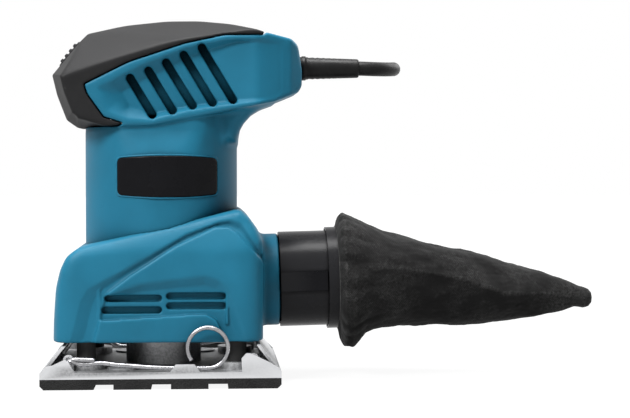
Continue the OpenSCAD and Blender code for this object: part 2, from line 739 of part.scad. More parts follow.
module housing_shell() {
    difference() {
        union() {
            difference() {
                union() {
                    difference() {
                        head_form();
                        side_slab(90) polygon(cap_edge);
                    }
                    barrel_form();
                    neck_form();
                }
                head_form(wall);
                barrel_form(wall);
                translate([motor_x, 0, barrel_h - 1]) cylinder(r = barrel_r - wall, h = 5);
            }
            // plate and seat of the upper bearing
            intersection() {
                barrel_form(wall / 2);
                translate([motor_x, 0, upper_bearing_h]) cylinder(r = barrel_r, h = bearing_plate_t);
            }
            translate([motor_x, 0, upper_bearing_h])
                cylinder(r = rotor_bearing_r + 3, h = rotor_bearing_h + 1.5);
            // bosses for the bracket's screws
            at_bracket_screws() cylinder_at(bracket_boss_r, bracket_boss_l, barrel_h);
            // webs behind the air slots
            intersection() {
                head_form(wall + slip);
                both_sides() translate([-20, -web_y, upper_bearing_h])
                    cube([62, 1.6, head_top - upper_bearing_h]);
            }
        }
        cap_skin();
        at_bracket_screws() cylinder_at(screw_r + eps, bracket_boss_l - 2, barrel_h - 1);
        translate([motor_x, 0, upper_bearing_h - eps])
            cylinder(r = rotor_bearing_r + eps, h = rotor_bearing_h + eps);
        translate([motor_x, 0, upper_bearing_h]) cylinder(r = shaft_hole_r, h = 4 * rotor_bearing_h);
        both_sides() {
            pocket();
            for (s = air_slots) side_slab(12, -head_y) stadium(s[0], s[1], air_slot_w);
        }
        translate([head_rear - 12, 0, cord_exit_h]) rotate([0, 90, 0]) cylinder(r = cord_r + 2, h = 20);
    }
}

module half_space(side) {
    translate([-100, side > 0 ? 0 : -100, -10]) cube([200, 100, 200]);
}

// Screw bosses across the head and barrel, from side to side
module screw_bosses(r, y, l) {
    for (s = screw_spots) translate([s[0], y, s[1]]) rotate([-90, 0, 0]) cylinder(r = r, h = l);
}

module housing_near() {
    color(blue) lift() intersection() {
        housing_shell();
        half_space(-1);
    }
}

module housing_far() {
    color(blue) lift() difference() {
        intersection() {
            housing_shell();
            half_space(1);
        }
        screw_bosses(housing_head_r + 2 * screw_slip, head_y - 3.4, 20);
        screw_bosses(screw_r + screw_slip, 0, 2 * head_y);
    }
}

module housing_screws() {
    color([0.2, 0.2, 0.22]) lift() {
        screw_bosses(housing_head_r, head_y - 3.3, 2.6);
        screw_bosses(screw_r, head_y - 3 - housing_screw_l, housing_screw_l);
    }
}

// Front facet of the cap, which carries the slider: its foot, top and slope
facet_low = head_outline[0];
facet_high = head_outline[1];
facet_mid = (facet_low + facet_high) / 2;
facet_tilt = atan2(facet_high[1] - facet_low[1], facet_high[0] - facet_low[0]);
module on_facet() {
    lift() translate([facet_mid[0], 0, facet_mid[1]]) rotate([0, -facet_tilt, 0]) children();
}
slider_stem_l = 6;
slider_stem_w = 6;

module grip_cap() {
    color([0.13, 0.13, 0.135]) difference() {
        lift() difference() {
            intersection() {
                head_form();
                side_slab(90) offset(delta = -0.1) polygon(cap_edge);
            }
            head_form(wall);
            translate([motor_x, 0, neck_h]) cylinder(r = barrel_r - wall, h = barrel_top_h - neck_h);
        }
        on_facet() translate([-slider_stem_l / 2 - slip, -slider_stem_w / 2 - slip, -8])
            cube([slider_stem_l + 2 * slip + slider_travel, slider_stem_w + 2 * slip, 16]);
    }
}

module switch_slider() {
    color([0.2, 0.2, 0.2]) on_facet() translate([0, 0, slip]) {
        translate([-slider_l / 2, -slider_w / 2, 0]) cube([slider_l, slider_w, 1]);
        for (x = [-slider_l / 2 + 0.7 : 2.2 : slider_l / 2 - 1.6])
            translate([x, -slider_w / 2 + 1, 0.9]) cube([1.1, slider_w - 2, 1.3]);
        translate([-slider_stem_l / 2, -slider_stem_w / 2, -wall - 2.4])
            cube([slider_stem_l, slider_stem_w, wall + 2.5]);
    }
}

module switch_module() {
    color([0.15, 0.15, 0.16]) on_facet() {
        translate([-switch_l / 2, -switch_w / 2, -wall - 2.4 - slip - switch_t])
            cube([switch_l, switch_w, switch_t]);
        both_sides() translate([-switch_l / 2, slider_stem_w / 2 + 2, -wall - 2.5 - slip])
            cube([switch_l, 3, 2.4]);
    }
}

// A plate bent round the barrel, with rounded corners
module nameplate() {
    color([0.06, 0.06, 0.07]) on_motor() intersection() {
        ring(barrel_r + plate_proud, barrel_r + eps, 2 * plate_h, plate_mid_h - plate_h);
        translate([plate_mid_x - motor_x, 0, plate_mid_h]) side_slab(60, -40) offset(r = 2, $fn = 24)
            square([plate_w - 4, plate_h - 4], center = true);
    }
}
module nameplate_near() { nameplate(); }
module nameplate_far() { rotate(180) translate([-2 * motor_x, 0, 0]) nameplate(); }

// ---- motor ----

module at_bracket_screws() {
    translate([motor_x, 0, 0]) for (a = [45:90:315]) rotate(a)
        translate([barrel_r - wall - 2.4, 0, 0]) children();
}

module bearing_bracket() {
    color([0.55, 0.56, 0.58]) lift() difference() {
        translate([motor_x, 0, 0]) difference() {
            union() {
                cylinder_at(barrel_r - 0.2, bracket_t - eps, bracket_h);
                cylinder_at(rotor_bearing_r + 3, rotor_bearing_h + 2, bracket_h);
            }
            cylinder_at(rotor_bearing_r + eps, 30, lower_bearing_h);
            cylinder_at(rotor_bearing_r - bearing_lip, 2 * bracket_h, 0);
            for (a = [0:90:270]) rotate(a) translate([bracket_air_at, 0, 0])
                cylinder_at(bracket_air_r, 2 * bracket_h, 0);
        }
        at_bracket_screws() cylinder_at(screw_r + screw_slip, 2 * bracket_h, 0);
    }
}
module cylinder_at(r, h, z) { translate([0, 0, z]) cylinder(r = r, h = h); }

module bracket_screws() {
    color([0.3, 0.3, 0.32]) lift() at_bracket_screws() {
        cylinder_at(bracket_head_r, 1.2, bracket_h - 1.2 - eps);
        cylinder_at(screw_r, bracket_t + 5, bracket_h - 1);
    }
}

module lower_bearing() {
    color([0.75, 0.76, 0.78]) on_motor()
        ring(rotor_bearing_r, shaft_r + fit, rotor_bearing_h, lower_bearing_h);
}

module upper_bearing() {
    color([0.75, 0.76, 0.78]) on_motor()
        ring(rotor_bearing_r, shaft_r + fit, rotor_bearing_h - 2 * eps, upper_bearing_h);
}

module stator_core() {
    color([0.5, 0.5, 0.52]) on_motor() difference() {
        union() {
            cylinder_at(stator_r, core_l, core_h);
            for (a = [0:90:270]) rotate(a) translate([stator_r - 2, -4, core_h])
                cube([barrel_r - wall - stator_r + 2 - 0.4, 8, core_l]);
        }
        cylinder_at(armature_r + air_gap, core_l + 2, core_h - 1);
        for (turn = [0, 180]) rotate(turn) translate([armature_r - 2, -7, core_h - 1])
            cube([6.5, 14, core_l + 2]);
    }
}

module field_coils() {
    color([0.6, 0.32, 0.14]) on_motor() for (turn = [0, 180]) rotate(turn) {
        difference() {
            translate([armature_r + air_gap + 0.4, -coil_w / 2, core_h - 6])
                cube([coil_t, coil_w, core_l + 12]);
            translate([0, -coil_w, core_h - eps]) cube([60, 2 * coil_w, core_l + 2 * eps]);
        }
        translate([armature_r + air_gap + 0.4, -6.8, core_h - 1]) cube([2.9, 13.6, core_l + 2]);
    }
}

brush_h = commutator_h + commutator_l / 2;
brush_l = 10;
brush_slip = 0.1;
holder_l = head_y - 1.6 - wall - slip - commutator_r - 2;

// A bar along X with a brush's cross-section, made wider all round
module square_bar(l, extra) {
    w = brush_w + extra;
    t = brush_t + extra;
    translate([0, -w / 2, -t / 2]) cube([l, w, t]);
}

module brush_holders() {
    color([0.78, 0.62, 0.3]) on_motor() for (turn = [90, 270]) rotate(turn)
        translate([commutator_r + 2, 0, brush_h]) difference() {
            square_bar(holder_l, 2 * (brush_slip + holder_wall));
            translate([-1, 0, 0]) square_bar(holder_l - 0.5, 2 * brush_slip);
        }
}

module brushes() {
    color([0.12, 0.12, 0.12]) on_motor() for (turn = [90, 270]) rotate(turn)
        translate([commutator_r + 0.05, 0, brush_h]) square_bar(brush_l, 0);
}

module brush_springs() {
    color([0.7, 0.7, 0.72]) on_motor() for (turn = [90, 270]) rotate(turn)
        translate([commutator_r + brush_l + 0.1, 0, brush_h]) rotate([0, 90, 0])
            ring(2.4, 1.8, holder_l - brush_l + 0.3, 0);
}

module capacitor() {
    color([0.75, 0.68, 0.2]) on_motor()
        translate([rotor_bearing_r + 3.6, -capacitor_l / 2, upper_bearing_h + bearing_plate_t + slip])
            cube([capacitor_l * 0.45, capacitor_l, capacitor_h]);
}

module rotor_shaft() {
    color([0.7, 0.71, 0.73]) on_motor()
        cylinder_at(shaft_r, shaft_top_h - weight_h - weight_t, weight_h + weight_t);
}

module armature_core() {
    color([0.5, 0.5, 0.52]) on_motor() difference() {
        cylinder_at(armature_r, core_l, core_h);
        cylinder_at(shaft_r + eps, core_l + 2, core_h - 1);
        for (a = [0:30:330]) rotate(a) translate([armature_r - 3, -1.2, core_h - 1])
            cube([6, 2.4, core_l + 2]);
    }
}

module armature_windings() {
    color([0.6, 0.32, 0.14]) on_motor() {
        ring(armature_r - 2, shaft_r + eps, winding_l, core_h - winding_l - eps);
        ring(armature_r - 2, shaft_r + eps, winding_l, core_h + core_l + eps);
    }
}

module commutator() {
    color([0.72, 0.45, 0.25]) on_motor() ring(commutator_r, shaft_r + eps, commutator_l, commutator_h);
}

module fan() {
    color([0.16, 0.16, 0.17]) on_motor() difference() {
        union() {
            cylinder_at(10, 2 * blade_h + fan_disc_t, fan_h);
            cylinder_at(fan_r, fan_disc_t, fan_h + blade_h);
            for (a = [0:360 / fan_blades:359]) rotate(a)
                translate([9, -0.8, fan_h]) cube([fan_r - 10, 1.6, 2 * blade_h + fan_disc_t]);
        }
        cylinder_at(shaft_r + eps, 60, 0);
    }
}

module eccentric() {
    pin_low = ecc_bearing_z - 0.6;
    color([0.5, 0.5, 0.52]) {
        translate([0, 0, pin_low]) cylinder(r = ecc_pin_r, h = skirt_z + weight_h + 1 - pin_low);
        on_motor() {
            cylinder_at(10, weight_t - eps, weight_h);
            intersection() {
                cylinder_at(weight_r, weight_t - eps, weight_h);
                translate([-2 * weight_r, -2 * weight_r, 0]) cube([2 * weight_r - 2, 4 * weight_r, 20]);
            }
        }
    }
}

// ---- dust outlet and bag ----

module adapter_tube() {
    color([0.09, 0.09, 0.09]) on_outlet() {
        ring(tube_r, tube_r - tube_wall, tube_l, slip);
        translate([-0.6, 0, slip]) difference() {
            translate([-4, -tube_r - 0.5, 0]) cube([9, 2 * tube_r + 1, tube_l - 6.8]);
            translate([0, 0, -1]) cylinder(r = tube_r - tube_wall / 2, h = 60);
        }
    }
}

module bag_collar() {
    color([0.08, 0.08, 0.08]) on_outlet() ring(collar_r, tube_r + 0.6, 6.2, tube_l - 6.2 + slip);
}

// The bag as rings, each a flat oval, joined by straight walls. Drawn in by an inset it
// gives the hollow, which starts at the mouth and ends short of the tip.
bag_sides = 24;
bag_tip_t = 3;
function bag_ring(r, inset) =
    let (end = inset > 0 && r[0] > bag_l - 1 ? r[0] - bag_tip_t : r[0])
    [
        for (k = [0:bag_sides - 1]) let (a = 360 * k / bag_sides)
            [-r[1] - (r[2] - inset) * cos(a), (r[3] - inset) * sin(a), end]
    ];
module bag_form(inset) {
    rings = [for (r = bag_rings) bag_ring(r, inset)];
    n = len(rings);
    points = [for (r = rings) for (q = r) q];
    walls = [
        for (i = [0:n - 2], k = [0:bag_sides - 1]) let (j = (k + 1) % bag_sides)
            [i * bag_sides + k, i * bag_sides + j, (i + 1) * bag_sides + j, (i + 1) * bag_sides + k]
    ];
    caps = [
        [for (k = [bag_sides - 1:-1:0]) k],
        [for (k = [0:bag_sides - 1]) (n - 1) * bag_sides + k],
    ];
    polyhedron(points = points, faces = concat(walls, caps), convexity = 6);
}
module dust_bag() {
    color([0.1, 0.1, 0.1]) on_outlet() translate([0, 0, slip + tube_l + eps]) difference() {
        bag_form(0);
        bag_form(cloth_t);
        translate([0, 0, -1]) cylinder(r = tube_r - tube_wall, h = 3);
    }
}

// ---- cord ----

module cord_guard() {
    color([0.07, 0.07, 0.07]) lift() translate([head_rear, 0, cord_exit_h]) rotate([0, 90, 0]) difference() {
        union() {
            translate([0, 0, -wall - guard_root_l]) cylinder(r = cord_r + 1.7, h = wall + guard_root_l + 1);
            translate([0, 0, -wall - guard_root_l]) cylinder(r = cord_r + 3.6, h = 3);
            translate([0, 0, slip]) cylinder(r1 = cord_r + 2, r2 = cord_r + 1.1, h = guard_l - 2);
        }
        translate([0, 0, -guard_l]) cylinder(r = cord_r, h = 3 * guard_l);
    }
}

module cord_clamp() {
    color([0.2, 0.2, 0.2]) lift() translate([head_rear - 24, 0, cord_exit_h]) difference() {
        translate([0, -9, head_floor_h - cord_exit_h]) cube([8, 18, cord_exit_h - head_floor_h + 2]);
        translate([-1, 0, 0]) rotate([0, 90, 0]) cylinder(r = cord_r + eps, h = 20);
    }
}

module cord() {
    color([0.06, 0.06, 0.06]) {
        sweep(cord_path, cord_r, 10);
        sweep(tail_path, cord_r, 10);
    }
}

module cord_coil() {
    color([0.06, 0.06, 0.06]) translate(coil_at) ring(coil_outer, coil_inner, coil_layers_h);
}

module coil_tie() {
    color([0.15, 0.15, 0.15]) translate(coil_at) translate([coil_inner - 1.8, -4, 0]) difference() {
        cube([coil_outer - coil_inner + 3.3, 8, coil_layers_h + 1.3]);
        translate([1.3, -1, -1]) cube([coil_outer - coil_inner + 0.7, 10, coil_layers_h + 1.1]);
    }
}

// Puts the plug's pieces on its axis, which runs along the local X
module on_plug() { translate(plug_at) rotate([0, 0, plug_turn]) children(); }
module plug_body() {
    color([0.07, 0.07, 0.07]) on_plug() {
        rotate([0, 90, 0]) cylinder(r1 = cord_r + 0.8, r2 = cord_r + 2.4, h = plug_relief_l + 1);
        translate([plug_relief_l, 0, 0]) cross_slab(plug_l) offset(r = 5, $fn = 24)
            square([plug_w - 10, plug_t - 10], center = true);
    }
}

module plug_pins() {
    color([0.8, 0.8, 0.82]) on_plug() for (y = [-pin_gap / 2, pin_gap / 2])
        translate([plug_relief_l + plug_l + eps, y, 0]) rotate([0, 90, 0]) cylinder(r = pin_r, h = pin_l);
}

base_plate();
sanding_pad();
rubber_legs();
leg_screws();
eccentric_bearing();
bearing_retainer();
front_clamp();
rear_clamp();
skirt();
housing_near();
housing_far();
grip_cap();
nameplate_near();
nameplate_far();
bearing_bracket();
bracket_screws();
housing_screws();
lower_bearing();
upper_bearing();
stator_core();
field_coils();
brush_holders();
brushes();
brush_springs();
switch_module();
switch_slider();
capacitor();
cord_clamp();
cord_guard();
rotor_shaft();
armature_core();
armature_windings();
commutator();
fan();
eccentric();
adapter_tube();
bag_collar();
dust_bag();
cord();
cord_coil();
coil_tie();
plug_body();
plug_pins();
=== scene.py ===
"""Looks of the palm finishing sander: shells, cloth, wire, cord, materials, light and camera.

Sizes are in millimetres until a mesh is made. Solid shells are level sets of signed distance
fields, sampled on a grid and meshed with surface nets, so that every edge gets a small fillet.
"""
import math

import bpy
import numpy as np
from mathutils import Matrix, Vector, noise


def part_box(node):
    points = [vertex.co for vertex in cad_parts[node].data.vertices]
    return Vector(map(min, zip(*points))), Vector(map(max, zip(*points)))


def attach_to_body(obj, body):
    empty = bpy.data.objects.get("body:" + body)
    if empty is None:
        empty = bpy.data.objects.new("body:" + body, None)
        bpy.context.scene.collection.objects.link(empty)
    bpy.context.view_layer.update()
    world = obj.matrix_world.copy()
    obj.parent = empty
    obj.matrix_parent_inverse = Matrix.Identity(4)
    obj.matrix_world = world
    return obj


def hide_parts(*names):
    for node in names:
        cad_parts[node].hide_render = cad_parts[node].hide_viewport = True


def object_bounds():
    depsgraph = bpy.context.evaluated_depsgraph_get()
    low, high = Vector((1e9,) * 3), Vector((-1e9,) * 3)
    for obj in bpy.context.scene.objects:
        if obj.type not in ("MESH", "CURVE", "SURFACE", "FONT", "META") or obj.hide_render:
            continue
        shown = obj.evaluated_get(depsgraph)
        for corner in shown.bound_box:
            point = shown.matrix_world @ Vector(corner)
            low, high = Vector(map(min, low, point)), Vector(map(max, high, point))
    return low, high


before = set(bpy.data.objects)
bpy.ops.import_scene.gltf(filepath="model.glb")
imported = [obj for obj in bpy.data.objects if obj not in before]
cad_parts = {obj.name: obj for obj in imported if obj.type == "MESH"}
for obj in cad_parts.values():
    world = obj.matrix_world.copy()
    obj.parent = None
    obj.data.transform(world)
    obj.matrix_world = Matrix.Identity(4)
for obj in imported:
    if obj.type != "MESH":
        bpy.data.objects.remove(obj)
cad_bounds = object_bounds()

MM = 0.001
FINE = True
SHELL_STEP = 0.6 if FINE else 1.1


def low(node, axis):
    """Lowest coordinate of a CAD node, in mm."""
    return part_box(node)[0][axis] / MM


def high(node, axis):
    """Highest coordinate of a CAD node, in mm."""
    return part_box(node)[1][axis] / MM


SKIRT_Z = low("skirt", 2)
MOTOR_X = (low("rotor_shaft", 0) + high("rotor_shaft", 0)) / 2
HALF_SKIRT = high("skirt", 1)
HEAD_FRONT = low("grip_cap", 0)
HEAD_REAR = high("housing_near", 0)
CROWN = high("grip_cap", 2) - SKIRT_Z
BARREL_R = high("nameplate_far", 1) - 0.6
LEG_TOP = high("rubber_legs", 2) - SKIRT_Z

# ---- camera


def place_camera():
    """The photograph's camera."""
    data = bpy.data.cameras.new("photo_camera")
    data.lens = 96
    data.sensor_width = 36
    data.clip_end = 20
    cam = bpy.data.objects.new("photo_camera", data)
    cam.location = Vector((20.1, -816, 104.5)) * MM
    target = Vector((73.6, 0, 80.7)) * MM
    cam.rotation_euler = (target - cam.location).to_track_quat("-Z", "Y").to_euler()
    bpy.context.scene.collection.objects.link(cam)
    bpy.context.scene.camera = cam


place_camera()

# ---- materials: node helpers


def feed(tree, node, inputs):
    """Sets a node's inputs, each from a socket or to a plain value."""
    for name, value in inputs.items():
        if isinstance(value, bpy.types.NodeSocket):
            tree.links.new(value, node.inputs[name])
        else:
            node.inputs[name].default_value = value


def add_node(tree, kind, inputs=(), **settings):
    node = tree.nodes.new("ShaderNode" + kind)
    for name, value in settings.items():
        setattr(node, name, value)
    feed(tree, node, dict(inputs))
    return node


def new_material(name, color, roughness, metallic=0.0, specular=0.5):
    """A material, its node tree and its shader."""
    mat = bpy.data.materials.new(name)
    mat.use_nodes = True
    shader = mat.node_tree.nodes["Principled BSDF"]
    feed(mat.node_tree, shader, {"Base Color": (*color, 1), "Roughness": roughness,
                                 "Metallic": metallic, "Specular IOR Level": specular})
    return mat, mat.node_tree, shader


def coordinates(tree, scale=1.0, turn=0.0):
    """Object coordinates, scaled, and turned about Y."""
    coord = add_node(tree, "TexCoord")
    mapping = add_node(tree, "Mapping", {"Vector": coord.outputs["Object"], "Scale": (scale,) * 3,
                                         "Rotation": (0, turn, 0)})
    return mapping.outputs["Vector"]


def add_noise(tree, scale, detail, roughness, where=None):
    tex = add_node(tree, "TexNoise", {"Vector": where or coordinates(tree), "Scale": scale,
                                      "Detail": detail, "Roughness": roughness})
    return tex.outputs["Fac"]


def add_wave(tree, where, direction, scale, distortion=0.0, detail_scale=1.0):
    """Bands across one axis."""
    return add_node(tree, "TexWave", {"Vector": where, "Scale": scale, "Distortion": distortion,
                                      "Detail Scale": detail_scale}, bands_direction=direction)


def add_ramp(tree, factor, *stops):
    """A colour ramp; its stops are (position, colour or grey level)."""
    ramp = add_node(tree, "ValToRGB", {"Fac": factor})
    elements = ramp.color_ramp.elements
    while len(elements) < len(stops):
        elements.new(0.5)
    for element, (position, color) in zip(elements, stops):
        element.position = position
        element.color = (*as_color(color), 1)
    return ramp.outputs["Color"]


def add_mix(tree, a, b, factor=1.0, blend="MIX"):
    """Mixes two colours, each a socket, a colour or a grey level."""
    mix = add_node(tree, "Mix", {"Factor": factor}, data_type="RGBA", blend_type=blend)
    for index, value in ((6, a), (7, b)):
        if not isinstance(value, bpy.types.NodeSocket):
            value = (*as_color(value), 1)
        feed(tree, mix, {index: value})
    return mix.outputs[2]


def add_bump(tree, shader, height, strength, distance):
    """Bumps on a shader; the distance is in metres."""
    bump = add_node(tree, "Bump", {"Height": height, "Strength": strength, "Distance": distance})
    feed(tree, shader, {"Normal": bump.outputs["Normal"]})


def as_color(value):
    return (value,) * 3 if isinstance(value, float) else value


def scaled(color, k):
    return tuple(min(1.0, c * k) for c in color)


def around(color, low_k, high_k):
    """Two ramp stops: the colour, scaled down at one end and up at the other."""
    return (0.3, scaled(color, low_k)), (0.7, scaled(color, high_k))


def add_math(tree, operation, a, b):
    return add_node(tree, "Math", {0: a, 1: b}, operation=operation).outputs[0]


def convex_edges(tree, low_edge=0.56, high_edge=0.72):
    """A factor that rises to 1 along sharp convex edges."""
    geometry = add_node(tree, "NewGeometry")
    return add_ramp(tree, geometry.outputs["Pointiness"], (low_edge, 0.0), (high_edge, 1.0))


def painted_crevice_shade(tree, reach=12 * MM, darkest=0.03):
    """Painted shade: a grey that falls from white where walls within reach shut the surface in."""
    shut_in = add_node(tree, "AmbientOcclusion", {"Distance": reach}, samples=6)
    return add_ramp(tree, shut_in.outputs["AO"], (0.25, darkest), (0.85, 1.0))


def moulded_plastic(name, color, roughness, grain=2600, strength=0.12, shade=0.12, specular=0.5):
    """Moulded plastic: mottled, with a fine grain, convex edges painted paler as a highlight, and
    painted shade in its hollows.
    """
    mat, tree, shader = new_material(name, color, roughness, specular=specular)
    mottle = add_noise(tree, scale=45, detail=5, roughness=0.6)
    tint = add_ramp(tree, mottle, *around(color, 1 - shade, 1 + shade))
    # painted highlight: the colour turns paler along convex edges
    pale = tuple(c * 1.25 + 0.015 for c in color)
    tint_with_edge_highlight = add_mix(tree, tint, pale, convex_edges(tree))
    # painted shade: hollows darken the colour and dim the shine
    dark = painted_crevice_shade(tree)
    fine = add_noise(tree, scale=grain, detail=2, roughness=0.5)
    feed(tree, shader, {
        "Base Color": add_mix(tree, tint_with_edge_highlight, dark, blend="MULTIPLY"),
        "Specular IOR Level": add_mix(tree, dark, specular, blend="MULTIPLY"),
        "Roughness": add_ramp(tree, mottle, (0.25, roughness - 0.05), (0.75, roughness + 0.07)),
    })
    add_bump(tree, shader, fine, strength, distance=0.2 * MM)
    return mat


def cast_metal(name, color, roughness):
    """Cast light metal: speckled, unevenly bright."""
    mat, tree, shader = new_material(name, color, roughness, metallic=0.85)
    speckle = add_noise(tree, scale=900, detail=6, roughness=0.75)
    blotch = add_noise(tree, scale=60, detail=5, roughness=0.6)
    tint = add_ramp(tree, speckle, (0.25, scaled(color, 0.45)), (0.5, color),
                    (0.75, scaled(color, 1.5)))
    soot = add_ramp(tree, blotch, (0.3, 0.7), (0.65, 1.0))
    sooty = add_mix(tree, tint, soot, blend="MULTIPLY")
    feed(tree, shader, {
        "Base Color": add_mix(tree, sooty, scaled(color, 1.7), convex_edges(tree, 0.5, 0.6)),
        "Roughness": add_ramp(tree, blotch, (0.2, roughness - 0.1), (0.8, roughness + 0.1)),
    })
    add_bump(tree, shader, speckle, strength=0.35, distance=0.3 * MM)
    return mat


def drawn_steel(name, color, roughness):
    """Bright drawn or ground steel with faint scratches."""
    mat, tree, shader = new_material(name, color, roughness, metallic=1.0)
    scratch = add_noise(tree, scale=3, detail=6, roughness=0.7, where=coordinates(tree, 70))
    feed(tree, shader, {
        "Base Color": add_ramp(tree, scratch, *around(color, 0.75, 1.15)),
        "Roughness": add_ramp(tree, scratch, (0.3, roughness * 0.7), (0.7, roughness * 1.5)),
    })
    add_bump(tree, shader, scratch, strength=0.02, distance=0.1 * MM)
    return mat


# ---- signed distance kit


def smax(a, b, k):
    """Largest of two fields; where they cross, the edge gets a round of about k."""
    h = np.maximum(k - np.abs(a - b), 0) / k
    return np.maximum(a, b) + h * h * k / 4


def smin(a, b, k):
    """Smallest of two fields, with such a round in the corner."""
    return -smax(-a, -b, k)


def fillet(points, radii, steps=5):
    """A closed outline with its corners rounded; radii is one number or one per corner."""
    n = len(points)
    if not hasattr(radii, "__len__"):
        radii = [radii] * n
    out = []
    for i, radius in enumerate(radii):
        corner = np.array(points[i], float)
        before = np.array(points[i - 1], float) - corner
        after = np.array(points[(i + 1) % n], float) - corner
        reach_a, reach_b = np.linalg.norm(before), np.linalg.norm(after)
        before, after = before / reach_a, after / reach_b
        half = math.acos(max(-1.0, min(1.0, float(before @ after)))) / 2
        cut = min(radius / max(math.tan(half), 1e-6), 0.45 * reach_a, 0.45 * reach_b)
        if cut < 0.05:
            out.append(tuple(corner))
            continue
        start, end = corner + before * cut, corner + after * cut
        for k in range(steps + 1):
            t = k / steps
            p = (1 - t) ** 2 * start + 2 * t * (1 - t) * corner + t * t * end
            out.append(tuple(p))
    return out


def outline(points, u, v):
    """Signed distance to a closed polygon, negative inside; u and v broadcast together."""
    shape = np.broadcast_shapes(u.shape, v.shape)
    dist = np.full(shape, 1e9, np.float32)
    inside = np.zeros(shape, bool)
    n = len(points)
    for i in range(n):
        ax, ay = points[i]
        bx, by = points[(i + 1) % n]
        ex, ey = bx - ax, by - ay
        length2 = ex * ex + ey * ey
        if length2 < 1e-12:
            continue
        wu, wv = u - ax, v - ay
        t = np.clip((wu * ex + wv * ey) / length2, 0, 1)
        dist = np.minimum(dist, (wu - ex * t) ** 2 + (wv - ey * t) ** 2)
        crosses = (v >= min(ay, by)) & (v < max(ay, by))
        if ey:
            inside ^= crosses & (u < ax + wv * ex / ey)
    dist = np.sqrt(dist)
    return np.where(inside, -dist, dist)


def most(first, *others):
    """The largest of several fields."""
    for field in others:
        first = np.maximum(first, field)
    return first


def box_field(u, v, w, lo, hi):
    """Distance to an upright box, exact enough near its faces."""
    return most(lo[0] - u, u - hi[0], lo[1] - v, v - hi[1], lo[2] - w, w - hi[2])


def to_axis(x, h, middle, angle):
    """Distance along a tilted axis of the side view, and height above it."""
    dx, dh = x - middle[0], h - middle[1]
    c, d = math.cos(angle), math.sin(angle)
    return dx * c + dh * d, dh * c - dx * d


def from_axis(local, middle, angle):
    """From (distance along a tilted axis, Y, height above it) to the part's frame."""
    a, y, n = local[..., 0], local[..., 1], local[..., 2]
    x = middle[0] + a * math.cos(angle) - n * math.sin(angle)
    z = middle[1] + SKIRT_Z + a * math.sin(angle) + n * math.cos(angle)
    return np.stack([x, y, z], -1)


def grid(lo, hi, step):
    """Three coordinate arrays that broadcast to a grid."""
    x, y, z = (np.arange(a, b + step, step, dtype=np.float32) for a, b in zip(lo, hi))
    return x[:, None, None], y[None, :, None], z[None, None, :]


CORNERS = [(i, j, k) for i in (0, 1) for j in (0, 1) for k in (0, 1)]
EDGES = [(a, b) for a in CORNERS for b in CORNERS if sum(b) - sum(a) == 1
         and all(q >= p for p, q in zip(a, b))]


def surface_nets(field, x, y, z):
    """Vertices and quads of the field's zero surface."""
    inside = field < 0
    full = inside[:-1, :-1, :-1].copy()
    empty = ~full
    for i, j, k in CORNERS[1:]:
        part = inside[i:full.shape[0] + i, j:full.shape[1] + j, k:full.shape[2] + k]
        full &= part
        empty &= ~part
    cells = np.argwhere(~(full | empty))
    total = np.zeros((len(cells), 3), np.float64)
    count = np.zeros(len(cells))
    for a, b in EDGES:
        fa = field[tuple((cells + a).T)]
        fb = field[tuple((cells + b).T)]
        hit = (fa < 0) != (fb < 0)
        t = np.where(hit, fa / np.where(hit, fa - fb, 1), 0)
        point = np.array(a) + t[:, None] * (np.array(b) - np.array(a))
        total += np.where(hit[:, None], point, 0)
        count += hit
    local = cells + total / count[:, None]
    corner = np.array([x.flat[0], y.flat[0], z.flat[0]], np.float64)
    step = float(x.flat[1] - x.flat[0])
    verts = corner + step * local

    index = np.full(full.shape, -1, np.int64)
    index[tuple(cells.T)] = np.arange(len(cells))
    quads = []
    for axis in range(3):
        span = [slice(None)] * 3
        ahead = [slice(None)] * 3
        span[axis] = slice(None, -1)
        ahead[axis] = slice(1, None)
        flips = np.argwhere(inside[tuple(span)] != inside[tuple(ahead)])
        u, v = [(1, 2), (2, 0), (0, 1)][axis]
        flips = flips[(flips[:, u] > 0) & (flips[:, v] > 0)]
        flips = flips[(flips[:, u] < field.shape[u] - 1) & (flips[:, v] < field.shape[v] - 1)]
        ring = []
        for du, dv in ((-1, -1), (0, -1), (0, 0), (-1, 0)):
            cell = flips.copy()
            cell[:, u] += du
            cell[:, v] += dv
            ring.append(index[tuple(cell.T)])
        quad = np.stack(ring, 1)
        backwards = ~inside[tuple(flips.T)]
        quad[backwards] = quad[backwards][:, ::-1]
        quads.append(quad)
    return verts, np.concatenate(quads)


def add_mesh(name, verts, faces, material):
    """A smooth mesh object in metres from millimetre vertices."""
    mesh = bpy.data.meshes.new(name)
    verts = np.asarray(verts, np.float64) * MM
    if isinstance(faces, np.ndarray):
        mesh.vertices.add(len(verts))
        mesh.vertices.foreach_set("co", verts.ravel())
        mesh.loops.add(faces.size)
        mesh.loops.foreach_set("vertex_index", faces.ravel().astype(np.int32))
        mesh.polygons.add(len(faces))
        starts = np.arange(0, faces.size, faces.shape[1], dtype=np.int32)
        mesh.polygons.foreach_set("loop_start", starts)
        mesh.update(calc_edges=True)
    else:
        mesh.from_pydata([tuple(v) for v in verts], [], faces)
    mesh.validate()
    mesh.materials.append(material)
    mesh.polygons.foreach_set("use_smooth", [True] * len(mesh.polygons))
    obj = bpy.data.objects.new(name, mesh)
    bpy.context.scene.collection.objects.link(obj)
    return obj


def attach(obj, body, slot, *replaced):
    """Says which body a piece rides on and hides the CAD nodes it stands for; the slot argument is
    not used.
    """
    if replaced:
        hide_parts(*replaced)
    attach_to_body(obj, body)


def housing_shell(name, field, x, y, h, material, slot, *replaced):
    """A shell on the housing, from a field over X, Y and the height above the skirt's foot."""
    field = np.broadcast_to(field, np.broadcast_shapes(x.shape, y.shape, h.shape))
    verts, quads = surface_nets(field, x, y, h + SKIRT_Z)
    attach(add_mesh(name, verts, quads, material), "housing", slot, *replaced)


# ---- skirt

